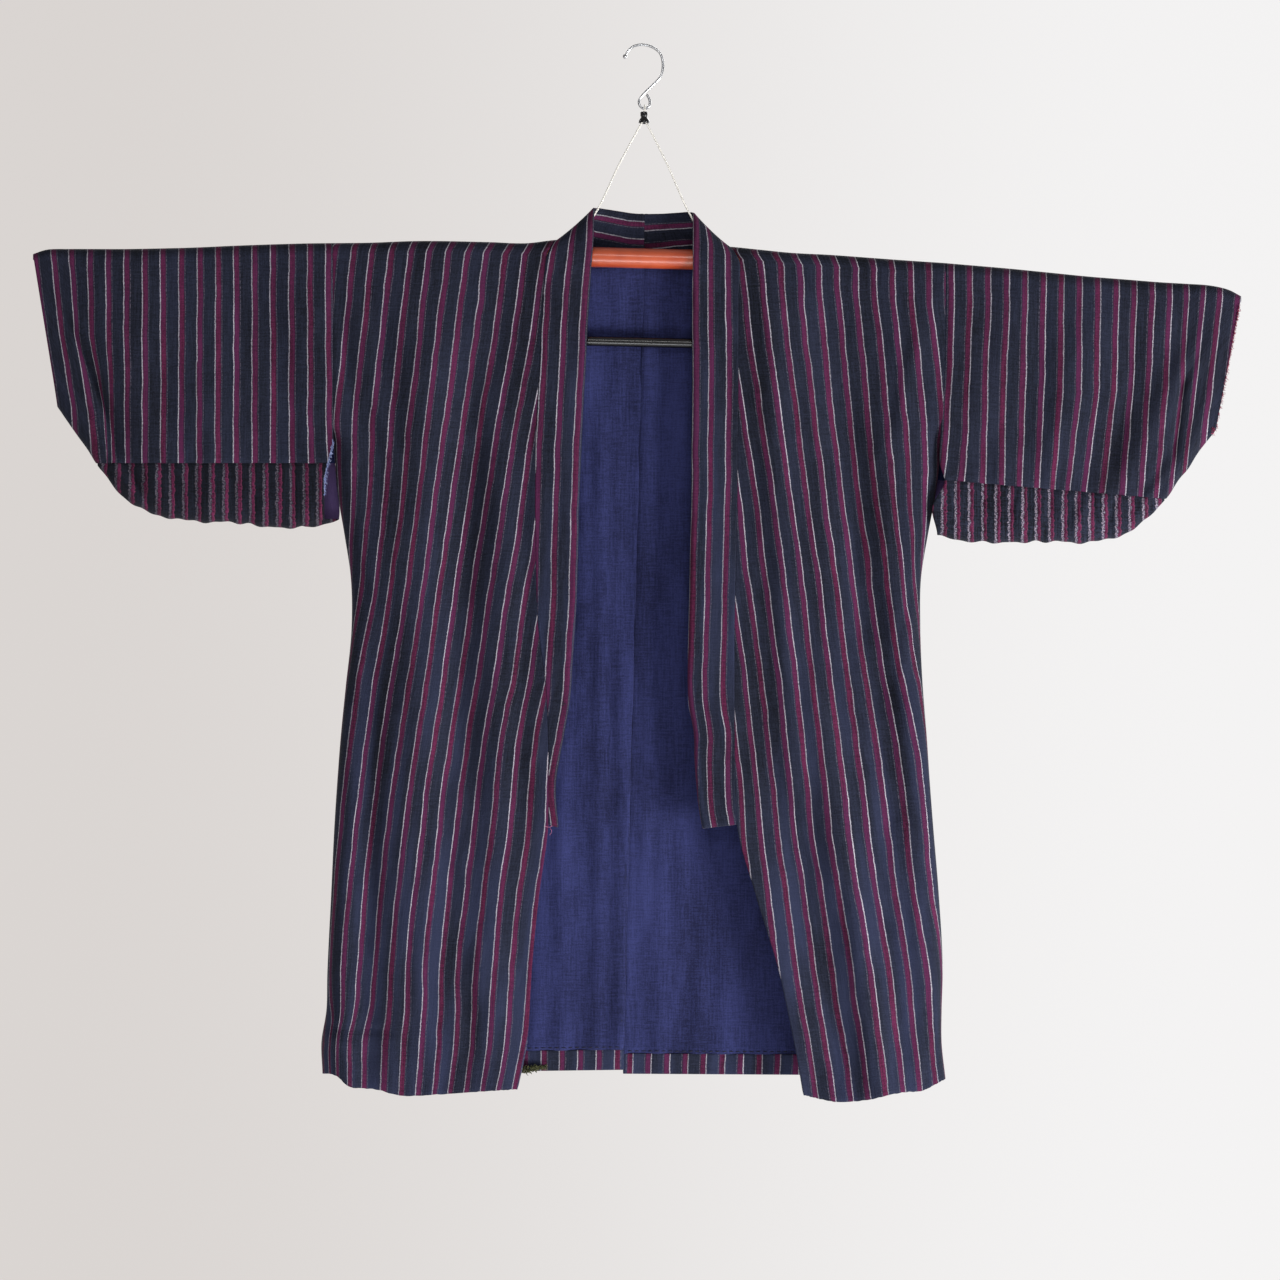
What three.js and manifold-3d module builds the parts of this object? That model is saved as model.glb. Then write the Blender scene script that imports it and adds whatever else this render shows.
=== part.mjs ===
import * as THREE from 'three';
import { mergeVertices } from 'three/addons/utils/BufferGeometryUtils.js';
import Module from 'manifold-3d';

// A noragi, a striped cotton work jacket, on a kimono hanger.
// Millimetres. The origin is the inside top of the hanger's hook, +Z is up,
// and the open front of the jacket faces -Y. The wearer's right is -X.
// A table gives distances from the middle as positive numbers on both sides.

// Thickness of the cloth walls, and the gap left at every seam.
const WALL = 1.4;
const COLLAR_WALL = 2.4;
const LINING_WALL = 1.0;
const SEAM_GAP = 0.4;
const COLLAR_GAP = 0.9;
const HEM_LAYER_GAP = 0.45;

// Hanger: the centre tube leans a little, down to the wearer's left.
const TUBE_RADIUS = 10.25;
const TUBE_BORE = 9.4;
const TUBE_HALF = 120;
const TUBE_HEIGHT = -218.7;
const TUBE_LEAN = -0.0265;
const ARM_RADIUS = 9;
const ARM_INSIDE = 55;
const ARM_END = { right: { x: 596, z: -221.5 }, left: { x: 588, z: -260 } };
const ROD_RADIUS = 5.15;
const ROD_HALF = 140;
const ROD_HEIGHT = -305.1;
const ROD_LEAN = -0.0238;
const LINK_RADIUS = 1.5;
const LINK_AT = 112;
const HOOK_WIRE = 1.35;
const HOOK_BALL = 2.4;
const CORD_RADIUS = 1;
const CORD_FOOT = 70;
const TOGGLE_AT = 1.6;
const TOGGLE_TOP = -68;
const EYE_MIDDLE = 2.4;
const EYE_BOTTOM = -64.4;
const CORD_LOOP = 3.1;
const CORD_LOOP_POINTS = 5;
const RUNNING_GAP = 0.3;

// How the cloth hangs off the hanger: half depth at the shoulder line, and how
// much farther the front and the back stand from the middle lower down.
const SHOULDER_DEPTH = 12.6;
const SHOULDER_ROUND = 11.25;
const FRONT_SPREAD = 10;
const BACK_SPREAD = 2;
const SPREAD_LENGTH = 350;

// Side seams below the armhole round into each other over this width.
const SIDE_ROUND = 26;
const ARMHOLE_END = -398;
const ARMHOLE_FADE = 24;
const SLEEVE_FOOT_ROUND = 30;
const CLOSED_HALF = WALL / 2 + SEAM_GAP / 2;

// At this height the side edges run straight up the armhole seams.
const CHEST_HEIGHT = -302;

// The seam in the middle of the back leans to the wearer's right going down.
const CENTRE_TOP = -222;
const CENTRE_OFFSET = 2;
const CENTRE_LEAN = 0.026;
const NECK_STEP = 12;

// The lining and the turned-up hem start at this place across the back, past
// the rounding of the side seam.
const LINING_FROM = 4;
const TURN_UP = 20;

const COLLAR_WIDTH = 47.5;
const COLLAR_TURN = 3.2;
const COLLAR_LIFT = 1;
const COLLAR_MIN_UNDER = 1.6;
const COLLAR_MIN_FACE = 1;
const COLLAR_BEND_SHARE = 0.7;

// Grid steps: places across a body panel, and steps of the longer loops.
const ACROSS = [0, 0.012, 0.035, 0.075, 0.13, 0.2, 0.29, 0.38, 0.47, 0.56, 0.65, 0.74, 0.83, 0.92, 1];
const ARC_STEPS = 6;
const SLEEVE_STATIONS = 17;
const SLEEVE_DROP_STEPS = 8;
const SLEEVE_CROWDING = 1.35;
const PATCH_STATIONS = 14;
const PATCH_STEPS = 4;
const PATCH_CROWDING = 1.6;

const COLOURS = {
  stripedCotton: { color: 0x1f2033, roughness: 0.95, metalness: 0 },
  patchCotton: { color: 0x2d1d2c, roughness: 0.95, metalness: 0 },
  indigoLining: { color: 0x262d66, roughness: 0.9, metalness: 0 },
  tubeLacquer: { color: 0x93411f, roughness: 0.35, metalness: 0 },
  blackPlastic: { color: 0x141414, roughness: 0.45, metalness: 0 },
  steelWire: { color: 0xb4b6b8, roughness: 0.25, metalness: 1 },
  whiteCord: { color: 0xe9e7e2, roughness: 0.9, metalness: 0 },
};

// Turns the rows of a short table into objects with its column names.
function table(names, rows) {
  return rows.map((row) => Object.fromEntries(names.map((name, i) => [name, row[i]])));
}

// Top of the shoulders and sleeves, outside the cloth.
const SHOULDER = {
  right: table(['x', 'z'], [
    [60, -199.5],
    [87, -199.5],
    [120, -203],
    [157, -201.9],
    [239, -200.9],
    [281, -202.5],
    [319, -202.9],
  ]),
  left: table(['x', 'z'], [
    [60, -206.5],
    [87, -206.5],
    [120, -209.6],
    [152, -212.8],
    [193, -215],
    [234, -218],
    [275, -221],
    [313, -223.5],
  ]),
};

// Front of each body panel from the chest to the hem: the side edge and the
// edge that the collar is sewn to, free below the collar's end.
const FRONT = {
  right: table(['sideZ', 'side', 'edgeZ', 'edge'], [
    [-250, 319, -250, 102],
    [-298, 319, -298, 105],
    [-340, 319, -340, 107],
    [-376, 319, -376, 109],
    [-400, 318.5, -400, 110],
    [-426, 317, -426, 110.5],
    [-462, 314, -462, 111],
    [-505, 307, -505, 110.5],
    [-545, 301, -545, 110],
    [-600, 300, -600, 107.5],
    [-660, 306, -660, 100],
    [-710, 311, -710, 97.5],
    [-755, 314.5, -755, 97],
    [-801, 317.5, -801, 97.5],
    [-874, 321, -874, 107],
    [-957, 325, -957, 115],
    [-1020, 329, -1020, 118.5],
    [-1066, 327, -1074, 127],
  ]),
  left: table(['sideZ', 'side', 'edgeZ', 'edge'], [
    [-256, 313, -256, 99],
    [-298, 312, -298, 99],
    [-340, 311, -340, 99],
    [-376, 309.5, -376, 98.5],
    [-400, 308.5, -400, 98],
    [-426, 307, -426, 98],
    [-462, 302, -462, 98],
    [-505, 294, -505, 97],
    [-545, 287.5, -545, 96],
    [-600, 286.5, -600, 95],
    [-660, 289, -660, 95],
    [-710, 293, -710, 95],
    [-755, 296, -755, 95.5],
    [-801, 299.5, -801, 97.5],
    [-874, 305, -874, 117],
    [-957, 306, -957, 142],
    [-1020, 308, -1020, 155],
    [-1073, 309, -1078, 164],
  ]),
};
const HEM_BELLY = 9;

// Back of each panel: the neck cut first, then down the centre seam. The side
// edge follows the front's side edge, so only its height is given.
const BACK_NECK = {
  right: table(['sideZ', 'edgeZ', 'edge'], [
    [-226, -214.5, 62],
    [-236, -219.2, 42],
    [-246, -221.3, 20],
  ]),
  left: table(['sideZ', 'edgeZ', 'edge'], [
    [-246, -220.3, 62],
    [-250, -221, 42],
    [-254, -221.6, 20],
  ]),
};
const BACK_HEM = { right: { sideZ: -1060, edgeZ: -1055 }, left: { sideZ: -1064, edgeZ: -1059 } };

// Inner edge of a panel where it goes over the hanger, front to back.
const NECK_OVER = { right: [99, 87, 76], left: [101, 88, 76] };

// Sleeve sections from the cuff to the armhole: each runs from a point on the
// top line to a point on the bottom line, and fill scales its half depth.
const SLEEVE = {
  right: table(['topX', 'topZ', 'footX', 'footZ', 'fill'], [
    [627, -214, 602, -372, 0.55],
    [612, -209.5, 584, -398, 0.7],
    [590, -209, 565, -425, 0.83],
    [562, -209, 546, -452, 0.9],
    [532, -209, 522, -474, 1],
    [497, -208.4, 492, -485, 1],
    [460, -207.4, 458, -490, 1],
    [420, -205.6, 420, -491, 1],
    [381, -204.2, 381, -496, 1],
    [345, -203.2, 346, -495.5, 1],
    [319, -202.9, 319, -489, 1],
  ]),
  left: table(['topX', 'topZ', 'footX', 'footZ', 'fill'], [
    [616, -257.5, 590, -396, 0.55],
    [602, -250.5, 575, -415, 0.7],
    [583, -246.4, 559, -438, 0.83],
    [560, -244.8, 541, -463, 0.9],
    [530, -243, 516, -490, 1],
    [498, -240.4, 490, -505, 1],
    [460, -237.4, 458, -511.5, 1],
    [420, -233.4, 420, -510.5, 1],
    [380, -229.4, 381, -511.5, 1],
    [345, -226.3, 345, -511, 1],
    [313, -223.5, 311, -505, 1],
  ]),
};

// Seam where the closer-striped bottom strip is joined to each sleeve.
const PATCH_SEAM = { right: { z: -429.5, slope: 0 }, left: { z: -447, slope: -0.085 } };
const PATCH_FROM = { right: 0.262, left: 0.33 };

// Collar from its lower end up to the shoulder: how wide it shows, and how far
// the free edge hangs below the seam edge. The rest is turned under.
const COLLAR_FRONT = {
  right: table(['z', 'face', 'drop'], [
    [-801, 9, -3],
    [-780, 6, 0],
    [-757, 6, 0],
    [-735, 9.5, 0],
    [-705, 15.5, 0],
    [-677, 21.6, 0],
    [-640, 28, 0],
    [-600, 36, 0],
    [-545, 41, 0],
    [-505, 42.5, 0],
    [-462, 43.8, 0],
    [-400, 45.5, 0],
    [-340, 45.9, 0],
    [-298, 45.9, 0],
    [-250, 45.9, 3],
  ]),
  left: table(['z', 'face', 'drop'], [
    [-801, 34, -4],
    [-770, 37.5, -1],
    [-735, 39.6, 0],
    [-710, 40, 0],
    [-677, 45.5, 0],
    [-600, 45.5, 0],
    [-545, 45.3, 0],
    [-462, 45.5, 0],
    [-400, 45.2, 0],
    [-340, 45.4, 0],
    [-298, 45.7, 0],
    [-256, 45.9, 3],
  ]),
};

// Collar over the shoulder and round the back of the neck: its seam edge and
// its free edge.
const COLLAR_NECK = {
  right: table(['seamX', 'seamY', 'seamZ', 'freeX', 'freeY', 'freeZ'], [
    [98.6, -13.6, -221, 52, -15, -213],
    [93, -10, -206.5, 51, -11, -187],
    [84.9, 0, -200.2, 50, -1, -168.5],
    [74, 9, -205.2, 46, 9, -166.5],
    [61, 13.8, -213, 37, 14.5, -167.5],
    [41, 14.6, -218.5, 21, 16.4, -170],
    [21, 14.9, -220.6, 10, 17, -171.6],
  ]),
  left: table(['seamX', 'seamY', 'seamZ', 'freeX', 'freeY', 'freeZ'], [
    [99.4, -13.9, -226, 52.5, -15, -219],
    [94, -10, -212.5, 53, -11, -193],
    [85.9, 0, -207, 52.5, -1, -173.5],
    [74, 9, -211.2, 47, 9, -170.5],
    [61, 13.8, -218.4, 37, 14.5, -171],
    [41, 14.6, -220.2, 21, 16.4, -172],
    [21, 14.9, -220.9, 10, 17, -172.2],
  ]),
};
const COLLAR_MIDDLE = { seamY: 15, seamZ: -221, freeY: 17, freeZ: -172.4 };

// The largest folds: a line down the cloth, its half width, and how far it
// stands out to the viewer's side, or in where it is below zero.
const FOLDS = {
  right: table(['x1', 'z1', 'x2', 'z2', 'width', 'out'], [
    [178, -344, 193, -735, 22, -5],
    [224, -344, 245, -1044, 26, 5],
    [118, -400, 128, -777, 14, -2.5],
    [145, -447, 157, -1065, 18, 4],
    [278, -640, 285, -1040, 18, -4],
    [595, -300, 535, -416, 15, -3.5],
    [565, -262, 505, -406, 17, 3],
    [480, -330, 360, -410, 26, -3],
  ]),
  left: table(['x1', 'z1', 'x2', 'z2', 'width', 'out'], [
    [128, -275, 157, -735, 15, 4.5],
    [193, -293, 234, -653, 26, -5],
    [245, -426, 262, -600, 17, 4],
    [147, -777, 200, -1044, 20, -4],
    [183, -694, 245, -1075, 17, 6],
    [250, -674, 272, -1000, 18, -4],
    [585, -290, 502, -437, 14, 4],
    [554, -293, 461, -437, 17, -4],
    [471, -262, 430, -406, 20, 3],
    [420, -262, 379, -385, 22, -3],
  ]),
};
const BACK_FOLD_SHARE = 0.5;
const FOLD_FADE = 60;
const FOLD_HEAD = 70;

const clamp01 = (value) => Math.min(1, Math.max(0, value));
const mix = (a, b, t) => a + (b - a) * t;
const ease = (t) => clamp01(t) ** 2 * (3 - 2 * clamp01(t));
const signOf = (side) => (side === 'right' ? -1 : 1);

// Reads a column of a table at a place between its rows, counted from 0 to 1.
function along(rows, column, share) {
  const at = clamp01(share) * (rows.length - 1);
  const low = Math.min(rows.length - 2, Math.floor(at));
  return mix(rows[low][column], rows[low + 1][column], at - low);
}

// Reads a column of a table at a value of its key column.
function lookUp(rows, key, value, column) {
  const rising = rows[rows.length - 1][key] > rows[0][key] ? 1 : -1;
  let low = 0;
  while (low < rows.length - 2 && (value - rows[low + 1][key]) * rising > 0) low += 1;
  const t = clamp01((value - rows[low][key]) / (rows[low + 1][key] - rows[low][key]));
  return mix(rows[low][column], rows[low + 1][column], t);
}

// Quarter of an ellipse: 0 at a closed edge, 1 past the rounding's width.
const rounding = (distance, width) => Math.sqrt(1 - (1 - clamp01(distance / width)) ** 2);

const tubeAxis = (x) => TUBE_HEIGHT + TUBE_LEAN * x;
const rodAxis = (x) => ROD_HEIGHT + ROD_LEAN * x;
const centreSeam = (z) => CENTRE_OFFSET + CENTRE_LEAN * (z - CENTRE_TOP);
const armholeBlend = (z) => ease((ARMHOLE_END - z) / ARMHOLE_FADE + 0.5);

// How far the folds move the cloth out at a point of one side.
function foldOut(side, x, z) {
  return FOLDS[side].reduce((sum, fold) => {
    const dx = fold.x2 - fold.x1;
    const dz = fold.z2 - fold.z1;
    const length = Math.hypot(dx, dz);
    const run = ((x - fold.x1) * dx + (z - fold.z1) * dz) / length;
    const off = ((x - fold.x1) * dz - (z - fold.z1) * dx) / length;
    const ends = ease(run / FOLD_FADE + 1) * ease((length - run) / FOLD_FADE + 1);
    return sum + fold.out * ends * Math.exp(-((off / fold.width) ** 2));
  }, 0);
}

// Distance of the cloth from the hanger's plane, at a drop below the shoulder.
function hangDepth(layer, side, x, z, drop) {
  const spread = layer < 0 ? FRONT_SPREAD : BACK_SPREAD;
  const share = layer < 0 ? 1 : BACK_FOLD_SHARE;
  const folds = foldOut(side, x, z) * share * ease(drop / FOLD_HEAD);
  return SHOULDER_DEPTH + spread * (1 - Math.exp(-drop / SPREAD_LENGTH)) + folds;
}

// Height of the middle of the cloth's arc over the hanger.
const arcHeight = (topZ) => topZ - WALL / 2 - SHOULDER_ROUND;

// A point of the hanging part of a body panel; x is the distance outwards.
function bodyPoint(side, layer, x, z, sideX) {
  const drop = arcHeight(lookUp(SHOULDER[side], 'x', Math.abs(x), 'z')) - z;
  const depth = hangDepth(layer, side, x, z, Math.max(0, drop));
  const closed = Math.max(CLOSED_HALF, depth * rounding(sideX - x, SIDE_ROUND));
  const y = layer * mix(depth, closed, armholeBlend(z));
  return new THREE.Vector3(signOf(side) * x, y, z);
}

// Side edge of a panel at a height, just inside the armhole seam or, below it,
// inside the half thickness of the rounded side seam.
function sideEdge(side, z) {
  const edge = lookUp(FRONT[side], 'sideZ', z, 'side');
  return edge - SEAM_GAP / 2 - (armholeBlend(z) * WALL) / 2;
}

// A row of a body panel from its side edge to its inner edge.
function bodyRow(side, layer, row) {
  return ACROSS.map((u) => {
    const sideX = sideEdge(side, row.sideZ);
    const belly = row.belly ? HEM_BELLY * Math.sin(Math.PI * u) : 0;
    const x = mix(sideX, row.edge, u);
    const z = mix(row.sideZ, row.edgeZ, u) - belly;
    return bodyPoint(side, layer, x, z, sideX);
  });
}

// Rows of the back from the neck cut down to the hem, inner edge on the
// centre seam.
function backRows(side) {
  const seamX = (z) => signOf(side) * centreSeam(z) + SEAM_GAP / 2;
  const neck = BACK_NECK[side].map((row) => ({ ...row }));
  const { sideZ } = neck[neck.length - 1];
  const top = { sideZ: sideZ - NECK_STEP, edgeZ: CENTRE_TOP, edge: seamX(CENTRE_TOP) };
  const lower = FRONT[side].slice(1, -1).map((row) => ({
    sideZ: row.sideZ,
    edgeZ: row.edgeZ,
    edge: seamX(row.edgeZ),
  }));
  const hem = BACK_HEM[side];
  return [...neck, top, ...lower, { ...hem, edge: seamX(hem.edgeZ) }];
}

// One step of the arc over the hanger: turn is 0 at the front, 1 at the back.
function shoulderRow(side, turn) {
  const over = NECK_OVER[side];
  const edge = turn < 0.5 ? mix(over[0], over[1], turn * 2) : mix(over[1], over[2], turn * 2 - 1);
  const angle = Math.PI * turn;
  return ACROSS.map((u) => {
    const x = mix(sideEdge(side, CHEST_HEIGHT), edge, u);
    const middle = arcHeight(lookUp(SHOULDER[side], 'x', x, 'z'));
    const y = -SHOULDER_DEPTH * Math.cos(angle);
    return new THREE.Vector3(signOf(side) * x, y, middle + SHOULDER_ROUND * Math.sin(angle));
  });
}

// Middle surface of a body panel, rows from the front hem to the back hem.
function bodyGrid(side) {
  const rows = FRONT[side].map((row, i) => ({ ...row, belly: i === FRONT[side].length - 1 }));
  const front = rows.map((row) => bodyRow(side, -1, row)).reverse();
  const over = Array.from({ length: ARC_STEPS + 1 }, (_, i) => shoulderRow(side, i / ARC_STEPS));
  const back = backRows(side).map((row) => bodyRow(side, 1, row));
  return [...front, ...over, ...back];
}

// A sleeve section read at a share of the way from the cuff to the armhole.
function sleeveSection(side, share) {
  const read = (column) => along(SLEEVE[side], column, share);
  const top = new THREE.Vector2(read('topX') + SEAM_GAP / 2, read('topZ') - WALL / 2);
  const foot = new THREE.Vector2(read('footX') + SEAM_GAP / 2, read('footZ') + WALL / 2);
  const seam = PATCH_SEAM[side];
  const armhole = SLEEVE[side][SLEEVE[side].length - 1];
  const seamZ = seam.z + seam.slope * (foot.x - armhole.footX);
  return { top, foot, seamAt: (top.y - seamZ) / (top.y - foot.y), fill: read('fill') };
}

// A point on a hanging layer of a sleeve: share runs from the top to the foot.
function sleevePoint(side, section, layer, share, closedHalf) {
  const x = mix(section.top.x, section.foot.x, share);
  const z = mix(section.top.y, section.foot.y, share);
  const drop = Math.max(0, section.top.y - SHOULDER_ROUND - z);
  const toFoot = (1 - share) * section.top.distanceTo(section.foot);
  const round = rounding(toFoot, SLEEVE_FOOT_ROUND);
  const depth = section.fill * hangDepth(layer, side, x, z, drop) * round;
  return new THREE.Vector3(signOf(side) * x, layer * Math.max(closedHalf, depth), z);
}

// Middle surface of a sleeve: from the front's lower edge over the arm to the
// back's lower edge, a column of points for each section.
function sleeveGrid(side) {
  return Array.from({ length: SLEEVE_STATIONS }, (_, i) => {
    const section = sleeveSection(side, i / (SLEEVE_STATIONS - 1));
    const round = SHOULDER_ROUND * section.fill;
    const arcShare = round / (section.top.y - section.foot.y);
    const lowShare = Math.min(1, section.seamAt);
    const drops = Array.from({ length: SLEEVE_DROP_STEPS + 1 }, (_, k) => k / SLEEVE_DROP_STEPS);
    const fall = (layer) => drops.map((t) => {
      const share = mix(arcShare, lowShare, 1 - (1 - t) ** SLEEVE_CROWDING);
      return sleevePoint(side, section, layer, share, CLOSED_HALF);
    });
    const over = Array.from({ length: ARC_STEPS - 1 }, (_, k) => {
      const angle = (Math.PI * (k + 1)) / ARC_STEPS;
      const x = section.top.x;
      const y = -SHOULDER_DEPTH * section.fill * Math.cos(angle);
      const z = section.top.y - round * (1 - Math.sin(angle));
      return new THREE.Vector3(signOf(side) * x, y, z);
    });
    return [...fall(-1).reverse(), ...over, ...fall(1)];
  });
}

// Middle surface of the strip along a sleeve's bottom, a trough from the
// front seam round the foot to the back seam.
function patchGrid(side) {
  return Array.from({ length: PATCH_STATIONS }, (_, i) => {
    const from = PATCH_FROM[side];
    const section = sleeveSection(side, mix(from, 1, i / (PATCH_STATIONS - 1)));
    const length = section.top.distanceTo(section.foot);
    const seamShare = section.seamAt + SEAM_GAP / length;
    const layer = (sign) => Array.from({ length: PATCH_STEPS }, (_, k) => {
      const t = (k + 1) / PATCH_STEPS;
      return sleevePoint(side, section, sign, mix(1, seamShare, t ** PATCH_CROWDING), 0);
    });
    const foot = sleevePoint(side, section, 1, 1, 0);
    return [...layer(-1).reverse(), foot, ...layer(1)];
  });
}

// One section across the collar. It runs from the seam edge to where it is
// seen to end, turns round a small radius, and the rest goes back behind.
function collarSection(seam, free) {
  const seen = seam.distanceTo(free);
  const out = free.clone().sub(seam).normalize();
  const behind = new THREE.Vector3(0, 1, 0);
  const flat = Math.max(COLLAR_MIN_FACE, seen - COLLAR_TURN);
  const under = Math.max(COLLAR_MIN_UNDER, COLLAR_WIDTH - flat);
  const bend = Math.min(under * COLLAR_BEND_SHARE, Math.PI * COLLAR_TURN);
  const rest = under - bend;
  const lengths = [0, flat / 3, (flat * 2) / 3, flat];
  lengths.push(flat + bend / 3, flat + (bend * 2) / 3, flat + bend, flat + bend + rest);
  return lengths.map((length) => {
    const angle = Math.min(bend, Math.max(0, length - flat)) / COLLAR_TURN;
    const tail = Math.max(0, length - flat - bend);
    const forward = Math.min(length, flat) + COLLAR_TURN * Math.sin(angle) + tail * Math.cos(angle);
    const back = COLLAR_TURN * (1 - Math.cos(angle)) + tail * Math.sin(angle);
    return seam.clone().addScaledVector(out, forward).addScaledVector(behind, back);
  });
}

// Middle surface of half the collar, from its lower end to the back centre.
function collarGrid(side) {
  const sign = signOf(side);
  const front = COLLAR_FRONT[side].map((row) => {
    const edge = lookUp(FRONT[side], 'edgeZ', row.z, 'edge');
    const onPanel = bodyPoint(side, -1, edge, row.z, FRONT[side][0].side);
    const seam = onPanel.clone().add(new THREE.Vector3(-sign * COLLAR_GAP, 0, 0));
    const lift = (COLLAR_LIFT * row.face) / COLLAR_WIDTH;
    const free = seam.clone().add(new THREE.Vector3(-sign * row.face, -lift, row.drop));
    return collarSection(seam, free);
  });
  const neck = COLLAR_NECK[side].map((row) => {
    const seam = new THREE.Vector3(sign * row.seamX, row.seamY, row.seamZ);
    const free = new THREE.Vector3(sign * row.freeX, row.freeY, row.freeZ);
    return collarSection(seam, free);
  });
  const middle = COLLAR_MIDDLE;
  const centre = centreSeam(CENTRE_TOP) + (sign * SEAM_GAP) / 2;
  const last = collarSection(
    new THREE.Vector3(centre, middle.seamY, middle.seamZ),
    new THREE.Vector3(centre, middle.freeY, middle.freeZ),
  );
  return [...front, ...neck, last];
}

// The back panel's own middle points from the neck cut down, without those
// that round into the side seam, moved towards the front by a distance.
function insideBack(side, forward) {
  const step = new THREE.Vector3(0, -forward, 0);
  const rows = backRows(side).slice(BACK_NECK[side].length);
  return rows.map((row) => bodyRow(side, 1, row).slice(LINING_FROM).map((point) => point.add(step)));
}

// The row of points a height above the last row, on the panel's own facets.
function aboveHem(rows, lift) {
  const hem = rows[rows.length - 1];
  const above = rows[rows.length - 2];
  return hem.map((point, i) => point.clone().lerp(above[i], lift / (above[i].z - point.z)));
}

// The lining stops just above the turned-up hem.
function liningGrid(side) {
  const rows = insideBack(side, WALL / 2 + HEM_LAYER_GAP + LINING_WALL / 2);
  return [...rows.slice(0, -1), aboveHem(rows, TURN_UP + SEAM_GAP)];
}

function turnUpGrid(side) {
  const rows = insideBack(side, WALL + HEM_LAYER_GAP);
  return [aboveHem(rows, TURN_UP), aboveHem(rows, TURN_UP / 2), rows[rows.length - 1]];
}

// A closed wall round a grid of middle points: each point moves half the
// thickness both ways along the surface's normal, and strips close the edges.
function clothWall(grid, thickness) {
  const rows = grid.length;
  const columns = grid[0].length;
  const normals = grid.map((row, i) => row.map((_, j) => {
    const down = grid[Math.min(rows - 1, i + 1)][j].clone().sub(grid[Math.max(0, i - 1)][j]);
    const across = row[Math.min(columns - 1, j + 1)].clone().sub(row[Math.max(0, j - 1)]);
    return down.cross(across).normalize();
  }));
  const positions = [];
  [1, -1].forEach((face) => grid.forEach((row, i) => row.forEach((point, j) => {
    const moved = point.clone().addScaledVector(normals[i][j], (face * thickness) / 2);
    positions.push(moved.x, moved.y, moved.z);
  })));
  const index = [];
  const at = (face, i, j) => face * rows * columns + i * columns + j;
  const quad = (a, b, c, d) => index.push(a, b, c, a, c, d);
  for (let i = 0; i < rows - 1; i += 1) {
    for (let j = 0; j < columns - 1; j += 1) {
      quad(at(0, i, j), at(0, i + 1, j), at(0, i + 1, j + 1), at(0, i, j + 1));
      quad(at(1, i, j), at(1, i, j + 1), at(1, i + 1, j + 1), at(1, i + 1, j));
    }
  }
  for (let i = 0; i < rows - 1; i += 1) {
    quad(at(0, i, 0), at(1, i, 0), at(1, i + 1, 0), at(0, i + 1, 0));
    const last = columns - 1;
    quad(at(0, i, last), at(0, i + 1, last), at(1, i + 1, last), at(1, i, last));
  }
  for (let j = 0; j < columns - 1; j += 1) {
    quad(at(0, 0, j), at(0, 0, j + 1), at(1, 0, j + 1), at(1, 0, j));
    const last = rows - 1;
    quad(at(0, last, j), at(1, last, j), at(1, last, j + 1), at(0, last, j + 1));
  }
  const geometry = new THREE.BufferGeometry();
  geometry.setAttribute('position', new THREE.Float32BufferAttribute(positions, 3));
  geometry.setIndex(index);
  geometry.computeVertexNormals();
  return geometry;
}

// A round section with a given number of sides.
function roundShape(radius, sides) {
  const points = Array.from({ length: sides }, (_, i) => {
    const angle = (2 * Math.PI * i) / sides;
    return new THREE.Vector2(radius * Math.cos(angle), radius * Math.sin(angle));
  });
  return new THREE.Shape(points);
}

// A round bar or wire along a smooth route.
function barAlong(points, radius, sides, steps) {
  const extrudePath = new THREE.CatmullRomCurve3(points, false, 'centripetal');
  return new THREE.ExtrudeGeometry(roundShape(radius, sides), {
    steps,
    bevelEnabled: false,
    extrudePath,
  });
}

function piece(name, geometry, finish) {
  const mesh = new THREE.Mesh(geometry, new THREE.MeshStandardMaterial(finish));
  mesh.name = name;
  return mesh;
}

function garmentHalf(side) {
  const flip = signOf(side) > 0;
  const facing = (grid) => (flip ? grid.map((row) => [...row].reverse()) : grid);
  const wall = (grid, thickness) => clothWall(facing(grid), thickness);
  return [
    piece(`body_${side}`, wall(bodyGrid(side), WALL), COLOURS.stripedCotton),
    piece(`sleeve_${side}`, wall(sleeveGrid(side), WALL), COLOURS.stripedCotton),
    piece(`sleeve_patch_${side}`, wall(patchGrid(side), WALL), COLOURS.patchCotton),
    piece(`collar_${side}`, wall(collarGrid(side), COLLAR_WALL), COLOURS.stripedCotton),
    piece(`lining_${side}`, wall(liningGrid(side), LINING_WALL), COLOURS.indigoLining),
    piece(`hem_turn_up_${side}`, wall(turnUpGrid(side), WALL), COLOURS.stripedCotton),
  ];
}

// The centre tube is open at both ends, where the arms slide out of it.
function hangerTube() {
  const shape = roundShape(TUBE_RADIUS, 24);
  shape.holes.push(new THREE.Path(roundShape(TUBE_BORE, 24).getPoints().reverse()));
  const start = new THREE.Vector3(-TUBE_HALF, 0, tubeAxis(-TUBE_HALF));
  const end = new THREE.Vector3(TUBE_HALF, 0, tubeAxis(TUBE_HALF));
  const extrudePath = new THREE.LineCurve3(start, end);
  return new THREE.ExtrudeGeometry(shape, { steps: 1, bevelEnabled: false, extrudePath });
}

// An arm is straight inside the tube and droops from the tube's mouth.
function hangerArm(side) {
  const sign = signOf(side);
  const end = ARM_END[side];
  const onAxis = (x) => new THREE.Vector3(sign * x, 0, tubeAxis(sign * x));
  const mouth = onAxis(TUBE_HALF);
  const tip = new THREE.Vector3(sign * end.x, 0, end.z);
  return loftBar([onAxis(TUBE_HALF - ARM_INSIDE), mouth, tip], ARM_RADIUS, 24);
}

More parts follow.
